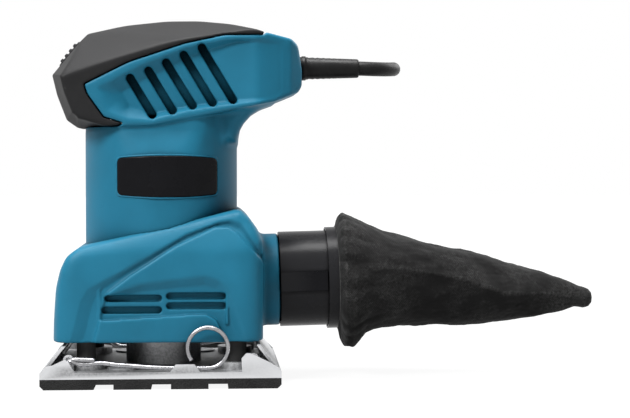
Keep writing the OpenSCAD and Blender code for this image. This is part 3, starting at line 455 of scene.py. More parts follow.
SKIRT_SIDE = [
    (-51.5, -20), (-51.5, 0), (-51, 9.5), (-49.4, 24.5), (-46.7, 33.5), (-43.6, 39.5), (-38, 43.8),
    (30, 59.7), (36.5, 61.1), (40.5, 57.5), (44.2, 52.4), (47.8, 46.9), (48.5, 41.1), (48.5, -20),
]
SKIRT_REAR = 48.5
SKIRT_RADII = [0, 0, 40, 30, 14, 10, 14, 10, 5, 4, 6, 5, 8, 0]
SKIRT_SECTION = [(44, -20), (44, 28), (42.4, 42), (37.6, 55), (36.4, 64), (36.4, 90),
                 (-90, 90), (-90, -20)]
SWOOSH = [
    (-42.1, -3), (-36.2, 19.4), (-33.2, 24.5), (-14.2, 34.8), (11.5, 49.7), (26.9, 55.3),
    (32, 56), (37.2, 54.3), (48.5, 38), (48.5, 35), (35.1, 50.2), (31, 52.7), (24.8, 52.7),
    (6.4, 44), (-14.2, 30.7), (-25, 22.5), (-31.8, -3),
]
SWOOSH_INNER = SWOOSH[9:] + [(48.5, -3)]
SWOOSH_DEPTH = 3.0
VENT_FIELD = [(-26.2, 21.5), (-9.1, 27.1), (19.7, 30.7), (26.9, 28.6), (31, 23.5), (41.5, -4),
              (31, -4), (25.5, 10.2), (20, 13), (-28.5, 10)]
VENT_FLOOR = [(-25.5, 20), (-9, 23.5), (19.7, 26.2), (25, 24.8), (28.8, 20.5), (37.5, -6),
              (31, -6)] + VENT_FIELD[7:]
VENT_DEPTH = 2.0
# Vent slots: front end, rear end, height
VENTS = [(-26, 0.2, 20.4), (-27.5, 0.2, 15), (2.3, 29.9, 21.3), (2.3, 29.9, 16.8)]
VENT_WIDTH = 3
# The outlet's middle, its radii, and its upward tilt
OUTLET = (55.8, 26.2)
STUB_R, SPIGOT_R, DUCT_R = 22.2, 20.3, 18.2
TILT = math.radians(1.5)


def rounded_box_plan(x, y, lo, hi, r):
    """Signed distance to a rectangle with corners of radius r."""
    cx, cy = (lo[0] + hi[0]) / 2, (lo[1] + hi[1]) / 2
    qx = np.abs(x - cx) - (hi[0] - lo[0]) / 2 + r
    qy = np.abs(y - cy) - (hi[1] - lo[1]) / 2 + r
    return np.hypot(np.maximum(qx, 0), np.maximum(qy, 0)) + np.minimum(np.maximum(qx, qy), 0) - r


def stadium(u, v, a, b, width):
    """Signed distance to a slot with round ends, from a to b."""
    ex, ey = b[0] - a[0], b[1] - a[1]
    t = np.clip(((u - a[0]) * ex + (v - a[1]) * ey) / (ex * ex + ey * ey), 0, 1)
    return np.hypot(u - a[0] - ex * t, v - a[1] - ey * t) - width / 2


def sloped_share(rim, floor, x, h):
    """Share of a recess's full depth: 0 at the rim, rising to 1 inside the floor's outline."""
    inside = np.clip(-rim, 0, None)
    return inside / (inside + np.maximum(outline(floor, x, h), 0) + 0.001)


def skirt_field(x, y, h):
    """The fan skirt: a hollow form with the outlet, the swoosh and the vents."""
    side_y = np.abs(y)
    plan = rounded_box_plan(x, y, (-51.5, -HALF_SKIRT), (SKIRT_REAR, HALF_SKIRT), 14)
    side = outline(fillet(SKIRT_SIDE, SKIRT_RADII), x, h)
    section = outline(fillet(SKIRT_SECTION, [0, 30, 20, 8, 8, 0, 0, 0]), side_y, h)
    body = smax(smax(plan, side, 5), section, 5)
    # soft facet that runs from the panel's shoulder down to the rear corner
    facet = (x - 41.5) * 0.55 + (side_y - HALF_SKIRT) * 0.83 + (h - 30) * 0.12
    body = smax(body, facet, 1.2)
    # the wall is thinner beside the rubber legs, which swing round with the base
    wall = 3.2 + 1.8 * np.clip((h - LEG_TOP - 1) / 3, 0, 1)
    shell = smax(smax(body, -h, 1.0), -(body + wall), 1.0)
    axis, up = to_axis(x, h, OUTLET, TILT)
    pipe = np.hypot(up, y)
    stub = smax(pipe - STUB_R, np.maximum(axis, -axis - 12), 1.2)
    spigot = most(pipe - SPIGOT_R, axis - 18, -axis - 12)
    shell = smin(shell, np.minimum(stub, spigot), 2.5)
    shell = np.maximum(shell, -np.maximum(pipe - DUCT_R, -axis - 14))
    # the swoosh: its floor slopes in from its upper edge to a step along its inner edge
    near_side = side_y > 20
    band = outline(fillet(SWOOSH, 3), x, h)
    inner_edge = np.abs(outline(SWOOSH_INNER, x, h))
    outer_edge = np.clip(-band, 0, None)
    share = SWOOSH_DEPTH * outer_edge / (outer_edge + inner_edge + 0.5)
    depth = np.minimum(0.2 + share, wall - 1)
    cut = np.where(near_side, smax(band, -body - depth, 0.6), 9)
    shell = smax(shell, -cut, 0.7)
    # the vents' recess, its slots, and a baffle on two ribs behind them
    field = outline(fillet(VENT_FIELD, [1, 8, 6, 6, 10, 1, 1, 7, 8, 1]), x, h)
    depth = VENT_DEPTH * sloped_share(field, VENT_FLOOR, x, h)
    cut = np.where(near_side, np.maximum(field, -body - depth), 9)
    shell = smax(shell, -cut, 0.5)
    for start, end, level in VENTS:
        slot = stadium(x, h, (start + 1.5, level), (end - 1.5, level), VENT_WIDTH)
        shell = smax(shell, -np.where(side_y > 30, slot, 9), 0.6)
    baffle = box_field(x, side_y, h, (-29, 37.2, 8), (31, 38.6, 27))
    for rib in (-29, 29.6):
        baffle = np.minimum(baffle, box_field(x, side_y, h, (rib, 37.2, 8), (rib + 1.4, 42, 27)))
    shell = np.minimum(shell, np.maximum(baffle, body + 1))
    # the barrel stands in a round hole
    return np.maximum(shell, -(np.hypot(x - MOTOR_X, y) - BARREL_R - 0.3))


def make_skirt(material):
    x, y, h = grid((-54, -46, -2), (76, 46, 64), SHELL_STEP)
    housing_shell("skirt_shell", skirt_field(x, y, h), x, y, h, material, "blue_plastic", "skirt")


# ---- head, barrel and cap

HEAD_SIDE = [
    (HEAD_FRONT, 124.2), (-35.5, CROWN - 6.3), (-18, CROWN - 2), (2, CROWN), (17.5, CROWN - 0.3),
    (32.7, CROWN - 2.4), (48.5, CROWN - 6.8), (60.9, CROWN - 9.5), (64.2, CROWN - 12.2),
    (HEAD_REAR, 126), (HEAD_REAR, 119.5), (64.2, 115.9),
    (52.6, 111.3), (-4, 100), (-39.7, 99), (-45.2, 102.9), (-49.7, 114.6),
]
HEAD_RADII = [1, 3, 60, 60, 60, 60, 40, 4, 5, 8, 3, 3, 6, 10, 3, 3, 30]
CAP_EDGE = [
    (48.5, 143.8), (47.2, 142.5), (29.9, 142.4), (11.2, 138.4), (-14.9, 129.7), (-35.7, 119.2),
    (-34.3, 114.6), (-26.6, 103.9), (-17.5, 101.1), (-20.9, 99.9), (-35.7, 98.6), (-60, 98),
    (-60, 160), (49, 160),
]
CAP_RADII = [1, 5, 25, 40, 40, 1, 10, 2, 0.5, 1, 5, 0, 0, 0]
HALF_HEAD = 33
HEAD_PLAN = [(-60, HALF_HEAD), (45, HALF_HEAD), (60.6, 26), (HEAD_REAR, 19), (HEAD_REAR, -90),
             (-60, -90)]
# Sloping facets between the upright sides and the crown: each is the plane through two
# neighbours on the side's ridge and one point 16 mm further in, all as (x, height)
HEAD_RIDGE = [(-44, 123.8), (-25.4, 130.5), (-8.2, 135.7), (6.3, 139.8), (29, 143.1)]
HEAD_SLOPES = [(-36.8, 142.1), (-18, 146.4), (0, 148.3), (17.5, 148.1)]
POCKET = [
    (-29.8, 117.6), (-9.5, 128.2), (11.4, 136.2), (30.1, 140), (47.2, 140.5), (56, 138), (56, 116),
    (51.2, 111.5), (36.3, 110.2), (13.4, 107.1), (-4.8, 102.8), (-16, 103.4), (-25, 106.8),
]
POCKET_FLOOR = [
    (-18.1, 115.8), (-8, 121.5), (8.7, 130), (17.6, 134.2), (36, 139.5), (54, 138), (54, 116),
    (50.5, 113), (36.3, 112.2), (13.4, 109.3), (-3, 106), (-14.9, 109),
]
POCKET_DEPTH = 4.2
# Air slots: upper end, lower end
AIR_SLOTS = [
    ((-14.5, 122.2), (-4.2, 105)), ((-6, 125.6), (5.2, 107)), ((2.2, 129.4), (14.5, 109.3)),
    ((10.4, 133), (23.8, 110.7)), ((18.8, 136.4), (33.3, 112)),
]
AIR_SLOT_WIDTH = 3.8
NECK = [(28, 92), (35.2, 92), (35.65, 94.5), (36.8, 98.1), (38.6, 101.3), (42.4, 105.5),
        (47.5, 108.8), (52.6, 111.2), (40, 116), (20, 112)]
CORD_EXIT_H = 128.5


def head_field(x, y, h):
    """The head's outer form, cap and housing together."""
    side_y = np.abs(y)
    # the nose narrows towards its front, by a chamfer that keeps to the side view's outline
    nose = np.clip((-25 - x) / 15, 0, 1)
    chamfer = 0.243 * nose * np.maximum(side_y - 12, 0)
    side = outline(fillet(HEAD_SIDE, HEAD_RADII, 8), x, h) + chamfer
    plan = outline(fillet(HEAD_PLAN, [0, 12, 6, 6, 0, 0]), x, side_y)
    form = smax(side, plan, 1.6)
    for (ax, ah), (bx, bh), (cx, ch) in zip(HEAD_RIDGE, HEAD_RIDGE[1:], HEAD_SLOPES):
        normal = np.cross((bx - ax, 0, bh - ah), (cx - ax, -16, ch - ah))
        normal *= np.sign(normal[2]) / np.linalg.norm(normal)
        facet = (x - ax) * normal[0] + (side_y - HALF_HEAD) * normal[1] + (h - ah) * normal[2]
        form = smax(form, facet, 1.1)
    return form.astype(np.float32)


def barrel_field(x, y, h):
    side_y = np.abs(y)
    tube = np.hypot(x - MOTOR_X, y) - BARREL_R
    # flat cheeks grow out of the round barrel below the head
    cheek_y = np.interp(h, [0, 76, 98, 140], [BARREL_R + 3, BARREL_R + 0.4, 31.3, 31.3])
    cheek = (side_y - cheek_y).astype(np.float32)
    return smax(smax(tube, cheek, 2.5), np.maximum(26 - h, h - 125), 1)


def housing_field(x, y, h):
    """Barrel and head without the cap, hollow, both halves in one."""
    side_y = np.abs(y)
    head = head_field(x, y, h)
    barrel = barrel_field(x, y, h)
    neck = smax(outline(NECK, x, h), side_y - 25, 8)
    outer = smin(smin(head, barrel, 1.2), neck, 3)
    inner = np.minimum(head + 6.2, np.maximum(barrel + 2.6, h - 96))
    shell = smax(outer, -inner, 0.8)
    # finger pocket with sloping walls that fades out towards the rear
    rim = outline(fillet(POCKET, 2.5), x, h)
    fade = np.clip((54 - x) / 34, 0, 1)
    depth = POCKET_DEPTH * fade * sloped_share(rim, POCKET_FLOOR, x, h)
    cut = np.where(side_y > 20, smax(rim, -head - depth, 0.5), 9)
    shell = smax(shell, -cut, 0.6)
    for top, bottom in AIR_SLOTS:
        slot = stadium(x, h, top, bottom, AIR_SLOT_WIDTH)
        shell = smax(shell, -np.where(side_y > 22, slot, 9), 0.7)
    # dark webs close behind the slots
    web = np.maximum(box_field(x, side_y, h, (-20, 21.8, 104.6), (42, 23.4, 150)), head + 3)
    shell = np.minimum(shell, web)
    cap = outline(fillet(CAP_EDGE, CAP_RADII), x, h)
    # the barrel's wall stands up inside the cap's lower edge
    inside_barrel = np.where(h < 100.2, BARREL_R + 0.2 - np.hypot(x - MOTOR_X, y), -9)
    shell = smax(shell, -np.maximum(cap - 0.2, inside_barrel), 1.0)
    exit_hole = np.maximum(np.hypot(y, h - CORD_EXIT_H) - 5.6, 50 - x)
    return np.maximum(shell, -exit_hole)


def make_housing(material):
    """The two halves, with a fine parting line between them."""
    for name, lo, hi, sign in (("near", -38, 2.1, 1), ("far", -2.1, 38, -1)):
        x, y, h = grid((-56, lo, 24), (70, hi, 150), SHELL_STEP)
        field = smax(housing_field(x, y, h), sign * y + 0.06, 0.5)
        housing_shell("housing_shell_" + name, field, x, y, h, material, "blue_plastic",
                      "housing_" + name)


# The cap's flat front slope, which carries the slider
FACET_LOW, FACET_HIGH = HEAD_SIDE[:2]
FACET = math.atan2(FACET_HIGH[1] - FACET_LOW[1], FACET_HIGH[0] - FACET_LOW[0])
FACET_MID = ((FACET_LOW[0] + FACET_HIGH[0]) / 2, (FACET_LOW[1] + FACET_HIGH[1]) / 2)


def make_cap(material):
    """The grip cap, with a window for the slider's stem."""
    x, y, h = grid((-56, -35, 96), (56, 35, 154), 0.55 if FINE else 1.0)
    head = head_field(x, y, h)
    cap = outline(fillet(CAP_EDGE, CAP_RADII), x, h)
    field = smax(smax(head, cap + 0.15, 0.9), -(head + 2.6), 0.8)
    barrel_room = np.where(h < 100.4, BARREL_R + 0.4 - np.hypot(x - MOTOR_X, y), -9)
    field = np.maximum(field, barrel_room)
    along, out = to_axis(x, h, FACET_MID, FACET)
    window = most(np.abs(along - 2) - 5.3, np.abs(y) - 3.3, np.abs(out) - 8)
    field = np.maximum(field, -window)
    housing_shell("grip_cap_shell", field, x, y, h, material, "black_plastic", "grip_cap")


# ---- nameplates


PLATE_H = 76.4


def make_plates(plate_material, rim_material):
    """Blank gloss plates with convex long edges, each in a thin bevelled frame."""
    for name, sign in (("near", -1), ("far", 1)):
        middle = 2.7 if sign < 0 else 2 * MOTOR_X - 2.7
        lo_y, hi_y = (25, 39) if sign > 0 else (-39, -25)
        x, y, h = grid((middle - 26, lo_y, 64), (middle + 26, hi_y, 89), 0.35 if FINE else 0.6)
        u, v = x - middle, h - PLATE_H
        radius = np.hypot(x - MOTOR_X, y)
        corner = rounded_box_plan(u, v, (-23.2, -12), (23.2, 12), 2.2)
        bow = np.abs(v) - 9.6 + (u / 23.2) ** 2 * 1.1
        form = smax(corner, bow, 2.5)
        frame_form = smax(form - 0.9, -(form + 0.1), 0.3)
        plate = smax(form, np.abs(radius - BARREL_R - 0.05) - 0.5, 0.4)
        rim = smax(frame_form, np.abs(radius - BARREL_R) - 0.42, 0.5)
        housing_shell("nameplate_blank_" + name, plate, x, y, h, plate_material, "gloss_black",
                      "nameplate_" + name)
        housing_shell("nameplate_frame_" + name, rim, x, y, h, rim_material, "blue_plastic")


# ---- tubes, wires and the cord


def resample(points, spacing):
    """Points a given distance apart on a centripetal curve through the given points."""
    p = np.array(points, float)
    p = np.vstack([2 * p[0] - p[1], p, 2 * p[-1] - p[-2]])
    dense = []
    for i in range(1, len(p) - 2):
        knots = [0.0]
        for k in range(3):
            knots.append(knots[-1] + max(np.linalg.norm(p[i + k] - p[i + k - 1]), 1e-6) ** 0.5)
        for t in np.linspace(knots[1], knots[2], 12, endpoint=False):
            level = p[i - 1:i + 3]
            for width in (1, 2, 1):
                first = 1 if len(level) == 2 else 0
                level = [(knots[k + width] - t) / (knots[k + width] - knots[k]) * a
                         + (t - knots[k]) / (knots[k + width] - knots[k]) * b
                         for k, (a, b) in enumerate(zip(level, level[1:]), first)]
            dense.append(level[0])
    dense.append(p[-2])
    dense = np.array(dense)
    reach = np.concatenate([[0], np.cumsum(np.linalg.norm(np.diff(dense, axis=0), axis=1))])
    count = max(2, int(round(reach[-1] / spacing)) + 1)
    wanted = np.linspace(0, reach[-1], count)
    return np.stack([np.interp(wanted, reach, dense[:, k]) for k in range(3)], 1)


def sweep_rings(path, radii, sides):
    """Rings of points round a path, carried along without twisting."""
    path = np.asarray(path, float)
    tangents = np.gradient(path, axis=0)
    tangents /= np.linalg.norm(tangents, axis=1)[:, None]
    start = np.array([0.1, 0.2, 1.0])
    if abs(start @ tangents[0]) > 0.95:
        start = np.array([1.0, 0.1, 0.1])
    angles = np.arange(sides) * 2 * math.pi / sides
    rings = []
    for p, t, r in zip(path, tangents, radii):
        start = start - (start @ t) * t
        start /= np.linalg.norm(start)
        side = np.cross(t, start)
        rings.append(p + r * (np.cos(angles)[:, None] * start + np.sin(angles)[:, None] * side))
    return np.array(rings)


def ring_faces(rings, sides):
    faces = []
    for i in range(rings - 1):
        for k in range(sides):
            j = (k + 1) % sides
            faces.append((i * sides + k, i * sides + j, (i + 1) * sides + j, (i + 1) * sides + k))
    return faces


def tube(name, path, radius, sides, material, rounded=0.35):
    """A swept round bar with rounded ends."""
    ends = []
    for at, toward in ((0, 1), (-1, -2)):
        away = path[at] - path[toward]
        away /= np.linalg.norm(away)
        ends.append([(path[at] + away * radius * rounded * s, radius * c)
                     for s, c in ((0.5, 0.87), (0.87, 0.5), (1.0, 0.08))])
    points = [p for p, _ in reversed(ends[0])] + list(path) + [p for p, _ in ends[1]]
    sizes = [r for _, r in reversed(ends[0])] + [radius] * len(path) + [r for _, r in ends[1]]
    rings = sweep_rings(points, sizes, sides)
    faces = ring_faces(len(rings), sides)
    faces.append(tuple(range(sides)))
    faces.append(tuple(range((len(rings) - 1) * sides, len(rings) * sides))[::-1])
    return add_mesh(name, rings.reshape(-1, 3), faces, material)


# The clamps' wire: its arm's plane, its pivots, and its ring's middle and radius
WIRE_Y = 46.5
WIRE_Z = 12.85
LUG_Y = 42.1
PIVOT_X = 42.5
RING = (21.3, 18.45, 9.3)


def make_clamps(material):
    """One bent wire for each end: pivots and jaw bar, arm, finger ring and the hooked tail."""
    pivot = [(0, LUG_Y + 2.2, 0), (0, LUG_Y - 2.2, 0), (-0.6, LUG_Y - 3.4, 0.2),
             (-3.2, LUG_Y - 6, 1.1), (-3.6, LUG_Y - 8, 1.3)]
    bar = pivot + [(-3.6, 0, 1.3)] + [(x, -y, z) for x, y, z in pivot[:0:-1]]
    bar += [(0, 1.4 - WIRE_Y, 0), (0.5, 0.4 - WIRE_Y, -0.1), (1.6, -WIRE_Y, -0.3)]
    tail = [(0.2, 1.6 - WIRE_Y, 0.2), (1.6, 0.3 - WIRE_Y, 0.4), (3, -WIRE_Y, 0.6),
            (7.5, -WIRE_Y, 0.5), (12, -WIRE_Y, 0.3)]
    bar, tail = ([(x - PIVOT_X, y, z + WIRE_Z) for x, y, z in part] for part in (bar, tail))
    ring_x, ring_z, ring_r = RING
    arm = [(x, -WIRE_Y, z) for x, z in (
        (-38, WIRE_Z - 1.3), (-33.8, WIRE_Z - 1.5), (-27, WIRE_Z - 1.1), (-20.6, WIRE_Z - 1.9),
        (-14, WIRE_Z - 2.4), (-4.7, ring_z - ring_r + 0.5), (6, ring_z - ring_r + 0.1),
        (14, ring_z - ring_r))]
    turns = [math.radians(a) for a in range(-90, 217, 9)]
    loop = [(ring_x + ring_r * math.cos(a), -WIRE_Y, ring_z + ring_r * math.sin(a)) for a in turns]
    for name, place in (("front", np.eye(3)), ("rear", np.diag([-1.0, -1.0, 1.0]))):
        wire_path = resample(bar + arm + loop, 0.9) @ place
        wire = tube(name + "_clamp_wire", wire_path, 1.0, 16, material)
        hook = tube(name + "_clamp_tail", resample(tail, 0.8) @ place, 0.98, 16, material)
        attach(wire, name + "_clamp_lever", "bright_steel", name + "_clamp")
        attach(hook, name + "_clamp_lever", "bright_steel")


CORD_R = 3.5
CORD_PATH = [
    (62, 0, 149), (70, 0, 149), (80, 0, 149), (90, 0, 149), (95, 0, 149), (99.5, 0.7, 148.9),
    (104.5, 3.4, 148.9), (109.5, 8.5, 149.1), (113.2, 16, 149.6), (114.5, 25, 150.1),
    (113.8, 34, 150.6), (110.5, 43, 151.1), (104.5, 51, 151.6), (96, 57.5, 151.9), (86, 61, 151.8),
    (74, 62.3, 150.6), (60, 62.3, 147.2), (46, 61.8, 140.5), (34, 61.2, 130), (25.5, 61, 117),
    (20, 61, 102), (17.5, 61, 86), (17, 61, 70), (16.5, 61.5, 54), (15, 62, 39), (10, 62, 24),
    (0, 62, 11.5), (-13, 62, 5), (-27, 64.5, 3.5), (-37.5, 71.5, 3.5), (-44.5, 82, 3.5),
    (-47, 94, 3.5), (-47, 110, 3.5),
]
TAIL_PATH = [
    (-41.2, 145.8, 10.6), (-36.5, 152.5, 11.8), (-29.5, 158.5, 14.6), (-20.5, 163.3, 18.2),
    (-11.5, 166.4, 20.9), (-2, 167.5, 22), (1.5, 166.9, 22),
]
COIL_MID = (0, 125)
# Turns of the coil: degrees wound so far, radius, height. Each turn keeps its radius, then
# steps to the next; the third turn climbs, and the fourth and fifth lie on the first three.
COIL_TURNS = [
    (0, 46, 3.5), (315, 46, 3.5), (358, 39, 3.5), (675, 39, 3.5), (718, 32, 3.5), (1015, 32, 3.5),
    (1062, 32, 10.5), (1290, 32, 10.5), (1345, 39, 10.5), (1590, 39, 10.5), (1650, 46, 10.5),
    (1818, 46, 10.5),
]


def coil_points():
    """Points along the coil, 6 degrees apart."""
    points = []
    wound = [row[0] for row in COIL_TURNS]
    for degrees in range(6, 1819, 6):
        i = max(k for k in range(len(wound) - 1) if wound[k] <= degrees)
        t = (degrees - wound[i]) / (wound[i + 1] - wound[i])
        t = t * t * (3 - 2 * t)
        radius, lift = ((1 - t) * COIL_TURNS[i][k] + t * COIL_TURNS[i + 1][k] for k in (1, 2))
        angle = math.pi - math.radians(degrees)
        points.append((COIL_MID[0] + radius * math.cos(angle),
                       COIL_MID[1] + radius * math.sin(angle), lift))
    return points


CORD_START_X = 66.7


def make_cord(material):
    """The whole lead, from the guard to the plug."""
    route = resample(CORD_PATH + coil_points() + TAIL_PATH, 2.2)
    # the point nearest the guard, on the straight first stretch
    route = route[int(np.argmin(np.abs(route[:, 0] - CORD_START_X) + 99 * (route[:, 1] > 1))):]
    obj = tube("cord_run", route, CORD_R, 16 if FINE else 10, material, 0.1)
    attach(obj, "housing", "rubber", "cord", "cord_coil")


# ---- dust bag

BAG_START = 29.31
# Distance from the mouth, height of the upper and of the lower edge over the outlet's axis
BAG_EDGES = [
    (-0.6, 24.4, -24.4), (0.0, 25.2, -25.4), (0.9, 28.6, -29.6), (2.6, 30.2, -33.0),
    (5.3, 28.9, -33.3), (8.4, 27.0, -30.6), (11, 25.4, -27.6), (15, 23.2, -25.6), (20, 21.3, -24.2),
    (27.4, 19.0, -22.9), (33, 17.4, -22.6), (40, 15.6, -22.8), (54, 12.3, -23.4), (72, 7.6, -23.4),
    (89, 2.9, -22.3), (103, -1.6, -20.7), (112, -4.9, -19.0), (118, -7.6, -17.2),
    (120, -8.6, -17.3), (123, -9.4, -17.9), (125.4, -10.4, -17.2), (126.2, -11.6, -16.0),
]
# Distance from the mouth, half width
BAG_WIDTHS = [
    (-0.6, 24.4), (0, 25.2), (2, 27.2), (6, 27.5), (12, 26.3), (25, 24), (40, 21), (60, 16.5),
    (80, 12), (100, 7.6), (112, 4.8), (118, 3.8), (123, 3.6), (126.2, 1.6),
]
# Crease along the near side: distance from the mouth, height, strength
BAG_CREASE = [
    (0, 9, 0), (12, 7, 0.3), (30, 4.6, 1.2), (45, 2.2, 2.0), (63, -2.6, 2.6), (81, -9.4, 2.8),
    (100, -10.2, 2.2), (119, -13.5, 0.8), (127, -14, 0),
]
# Dents: height, noise scales, seed, distance from the mouth over which they set in
BAG_DENTS = [(1.5, (0.035, 0.06, 0.075), 3, 10), (0.75, (0.10, 0.16, 0.19), 9, 6),
             (0.28, (0.35, 0.5, 0.5), 5, 2)]


def column(table, index, s):
    """A table's column, interpolated at the distance s."""
    rows = np.array(table)
    return np.interp(s, rows[:, 0], rows[:, index])


def bag_noise(p, scale, seed):
    return noise.noise(Vector((p[0] * scale[0] + seed, p[1] * scale[1], p[2] * scale[2])))


def bag_surface(rings, sides):
    """The limp bag: two sewn corners at its mouth, gathers, a long crease and shallow dents."""
    spots = np.concatenate([np.linspace(-0.6, 12, rings // 3, endpoint=False),
                            np.linspace(12, 126.2, rings - rings // 3)])
    verts = []
    for s in spots:
        top, bottom = column(BAG_EDGES, 1, s), column(BAG_EDGES, 2, s)
        half_w = column(BAG_WIDTHS, 1, s)
        crease_z, crease = column(BAG_CREASE, 1, s), column(BAG_CREASE, 2, s)
        past_mouth = max(s, 0)
        mouth = math.exp(-past_mouth / 9)
        power = 0.78 + 0.22 * mouth
        for k in range(sides):
            a = 2 * math.pi * k / sides
            c, d = math.cos(a), math.sin(a)
            z = (top + bottom) / 2 + (top - bottom) / 2 * c
            y = half_w * math.copysign(abs(d) ** power, d)
            ridge = math.exp(-abs(z - crease_z) / 4.5)
            y -= max(0.0, -d) * crease * (ridge - 0.35)
            far_ridge = math.exp(-abs(z - crease_z - 4) / 7)
            y += max(0.0, d) * crease * 0.7 * (far_ridge - 0.35)
            gather = math.sin(a * 17 + 1.3 * math.sin(a * 3)) + 0.6 * math.sin(a * 29 + 2)
            fold = 0.55 * mouth * gather * min(1.0, past_mouth / 1.5)
            dent = 0.0
            for height, scale, seed, onset in BAG_DENTS:
                dent += height * bag_noise((s, y, z), scale, seed) * min(1, past_mouth / onset)
            dent *= min(1.0, half_w / 9) * min(1.0, max(0.15, (124 - s) / 14))
            out = fold + dent
            verts.append((s, y + out * d, z + out * c))
    return np.array(verts)


def make_bag(material):
    """The dust bag: the surface is the cloth's outside, and a modifier gives it thickness."""
    rings, sides = (150, 180) if FINE else (80, 90)
    verts = bag_surface(rings, sides)
    tip = verts[-sides:].mean(0) + (0.5, 0, 0)
    faces = ring_faces(rings, sides)
    faces += [((rings - 1) * sides + k, (rings - 1) * sides + (k + 1) % sides, rings * sides)
              for k in range(sides)]
    verts = np.vstack([verts, tip])
    # gathers and cloth thickness lengthen the bag a little, so what lies past its neck is drawn in
    s = verts[:, 0]
    verts[:, 0] = np.minimum(s, 12) + 0.977 * np.maximum(s - 12, 0) + BAG_START
    verts = from_axis(verts, OUTLET, TILT)
    obj = add_mesh("dust_bag_cloth", verts, faces, material)
    skin = obj.modifiers.new("cloth", "SOLIDIFY")
    skin.thickness = 0.9 * MM
    skin.offset = -1
    attach(obj, "bag_unit", "bag_cloth", "dust_bag")


# ---- guard, slider, plug


GUARD_X, GUARD_Z = 66.6, 149
GUARD_SIDES = 40


def make_guard(material):
    """Tapered rubber guard with shallow rings near the head and a rounded lip at its end."""
    profile = [(-4, 5.4), (0.2, 5.5), (0.6, 5.9), (2.2, 5.9), (2.6, 5.4)]
    for i in range(25):
        t = i / 24
        ripple = 0.18 * math.cos(t * 2 * math.pi * 9) * max(0.0, 1 - t * 1.3)
        profile.append((3 + 24.2 * t, 5.3 - 0.75 * t + ripple))
    profile += [(27.7, 4.45), (28.1, 4.15), (28.2, 3.8), (28.0, 3.52), (20, 3.5), (-4, 3.5),
                (-4, 5.4)]
    angles = np.arange(GUARD_SIDES) * 2 * math.pi / GUARD_SIDES
    verts = [(GUARD_X + a, r * math.cos(t), GUARD_Z + r * math.sin(t))
             for a, r in profile for t in angles]
    obj = add_mesh("cord_guard_boot", verts, ring_faces(len(profile), GUARD_SIDES), material)
    attach(obj, "housing", "rubber", "cord_guard")


RIB_PITCH = 3.1


def make_slider(material):
    """Thumb slider with rounded cross ribs on a thin crowned plate."""
    a, y, n = grid((-8.5, -8, -6), (8.5, 8, 3.6), 0.25 if FINE else 0.4)
    plate = rounded_box_plan(a, y, (-7.5, -7), (7.5, 7), 1.8)
    plate = smax(plate, np.maximum(0.3 - n, n - 1.15 + 0.004 * y * y), 0.5)
    ribs = np.abs(((a + 2 * RIB_PITCH) % RIB_PITCH) - RIB_PITCH / 2) - 0.95
    ribs = smax(ribs, np.maximum(np.abs(y) - 6, np.abs(a) - 6.6), 0.6)
    ribs = smax(ribs, np.maximum(0.8 - n, n - 2.35 + 0.012 * y * y), 0.6)
    stem = most(np.abs(a) - 2.95, np.abs(y) - 2.95, n - 0.6, -4.8 - n)
    field = smin(smin(plate, ribs, 0.5), stem, 0.2)
    verts, quads = surface_nets(field, a, y, n)
    obj = add_mesh("switch_thumb", from_axis(verts, FACET_MID, FACET), quads, material)
    attach(obj, "switch", "black_plastic", "switch_slider")


# ---- CAD nodes that are shown


def paint(obj, material):
    """Gives a CAD node's picture a material; its mesh stays as it is."""
    if not obj.data.materials:
        obj.data.materials.append(material)
    for slot in obj.material_slots:
        slot.link = "OBJECT"
        slot.material = material


def soften(obj, width):
    """Rounds the edges of a CAD node's picture; its mesh stays as it is."""
    bevel = obj.modifiers.new("edge", "BEVEL")
    bevel.width = width * MM
    bevel.segments = 2
    bevel.limit_method = "ANGLE"
    bevel.angle_limit = math.radians(35)
    bevel.harden_normals = True


# ---- materials: finishes


def twill_cloth(name, color, dust):
    """Dusty black twill: diagonal ribs, a slubby yarn, and pale dust in patches and on crests."""
    mat, tree, shader = new_material(name, color, 0.92, specular=0.08)
    turned = coordinates(tree, turn=math.radians(52))
    ribs = add_wave(tree, turned, "X", scale=520, distortion=1.2, detail_scale=3)
    crossed = add_wave(tree, turned, "Z", scale=600, distortion=2.0)
    weave = add_mix(tree, ribs.outputs["Color"], crossed.outputs["Color"], 0.5, "MULTIPLY")
    slubs = add_noise(tree, scale=900, detail=4, roughness=0.7)
    thread = add_ramp(tree, slubs, (0.35, 0.0), (0.75, 1.0))
    cloud = add_noise(tree, scale=42, detail=6, roughness=0.65)
    patch = add_ramp(tree, cloud, (0.42, 0.0), (0.72, 1.0))
    raised = add_mix(tree, weave, thread, blend="MULTIPLY")
    dusty = add_mix(tree, raised, patch, blend="MULTIPLY")
    woven = add_mix(tree, scaled(color, 0.8), scaled(color, 1.7), raised)
    worn = add_mix(tree, woven, dust, dusty)
    crest = add_mix(tree, convex_edges(tree, 0.51, 0.60), thread, blend="MULTIPLY")
    feed(tree, shader, {"Base Color": add_mix(tree, worn, dust, crest), "Sheen Weight": 0.06,
                        "Sheen Roughness": 0.5})
    add_bump(tree, shader, weave, strength=0.35, distance=0.3 * MM)
    return mat


def foam_rubber(name, color):
    """Closed-cell foam or pressed carbon: fine cells, uneven in tone."""
    mat, tree, shader = new_material(name, color, 0.9, specular=0.2)
    cells = add_node(tree, "TexVoronoi", {"Vector": coordinates(tree), "Scale": 1300})
    blotch = add_noise(tree, scale=90, detail=5, roughness=0.6)
    feed(tree, shader, {"Base Color": add_ramp(tree, blotch, *around(color, 0.7, 1.5))})
    add_bump(tree, shader, cells.outputs["Distance"], strength=0.6, distance=0.4 * MM)
    return mat


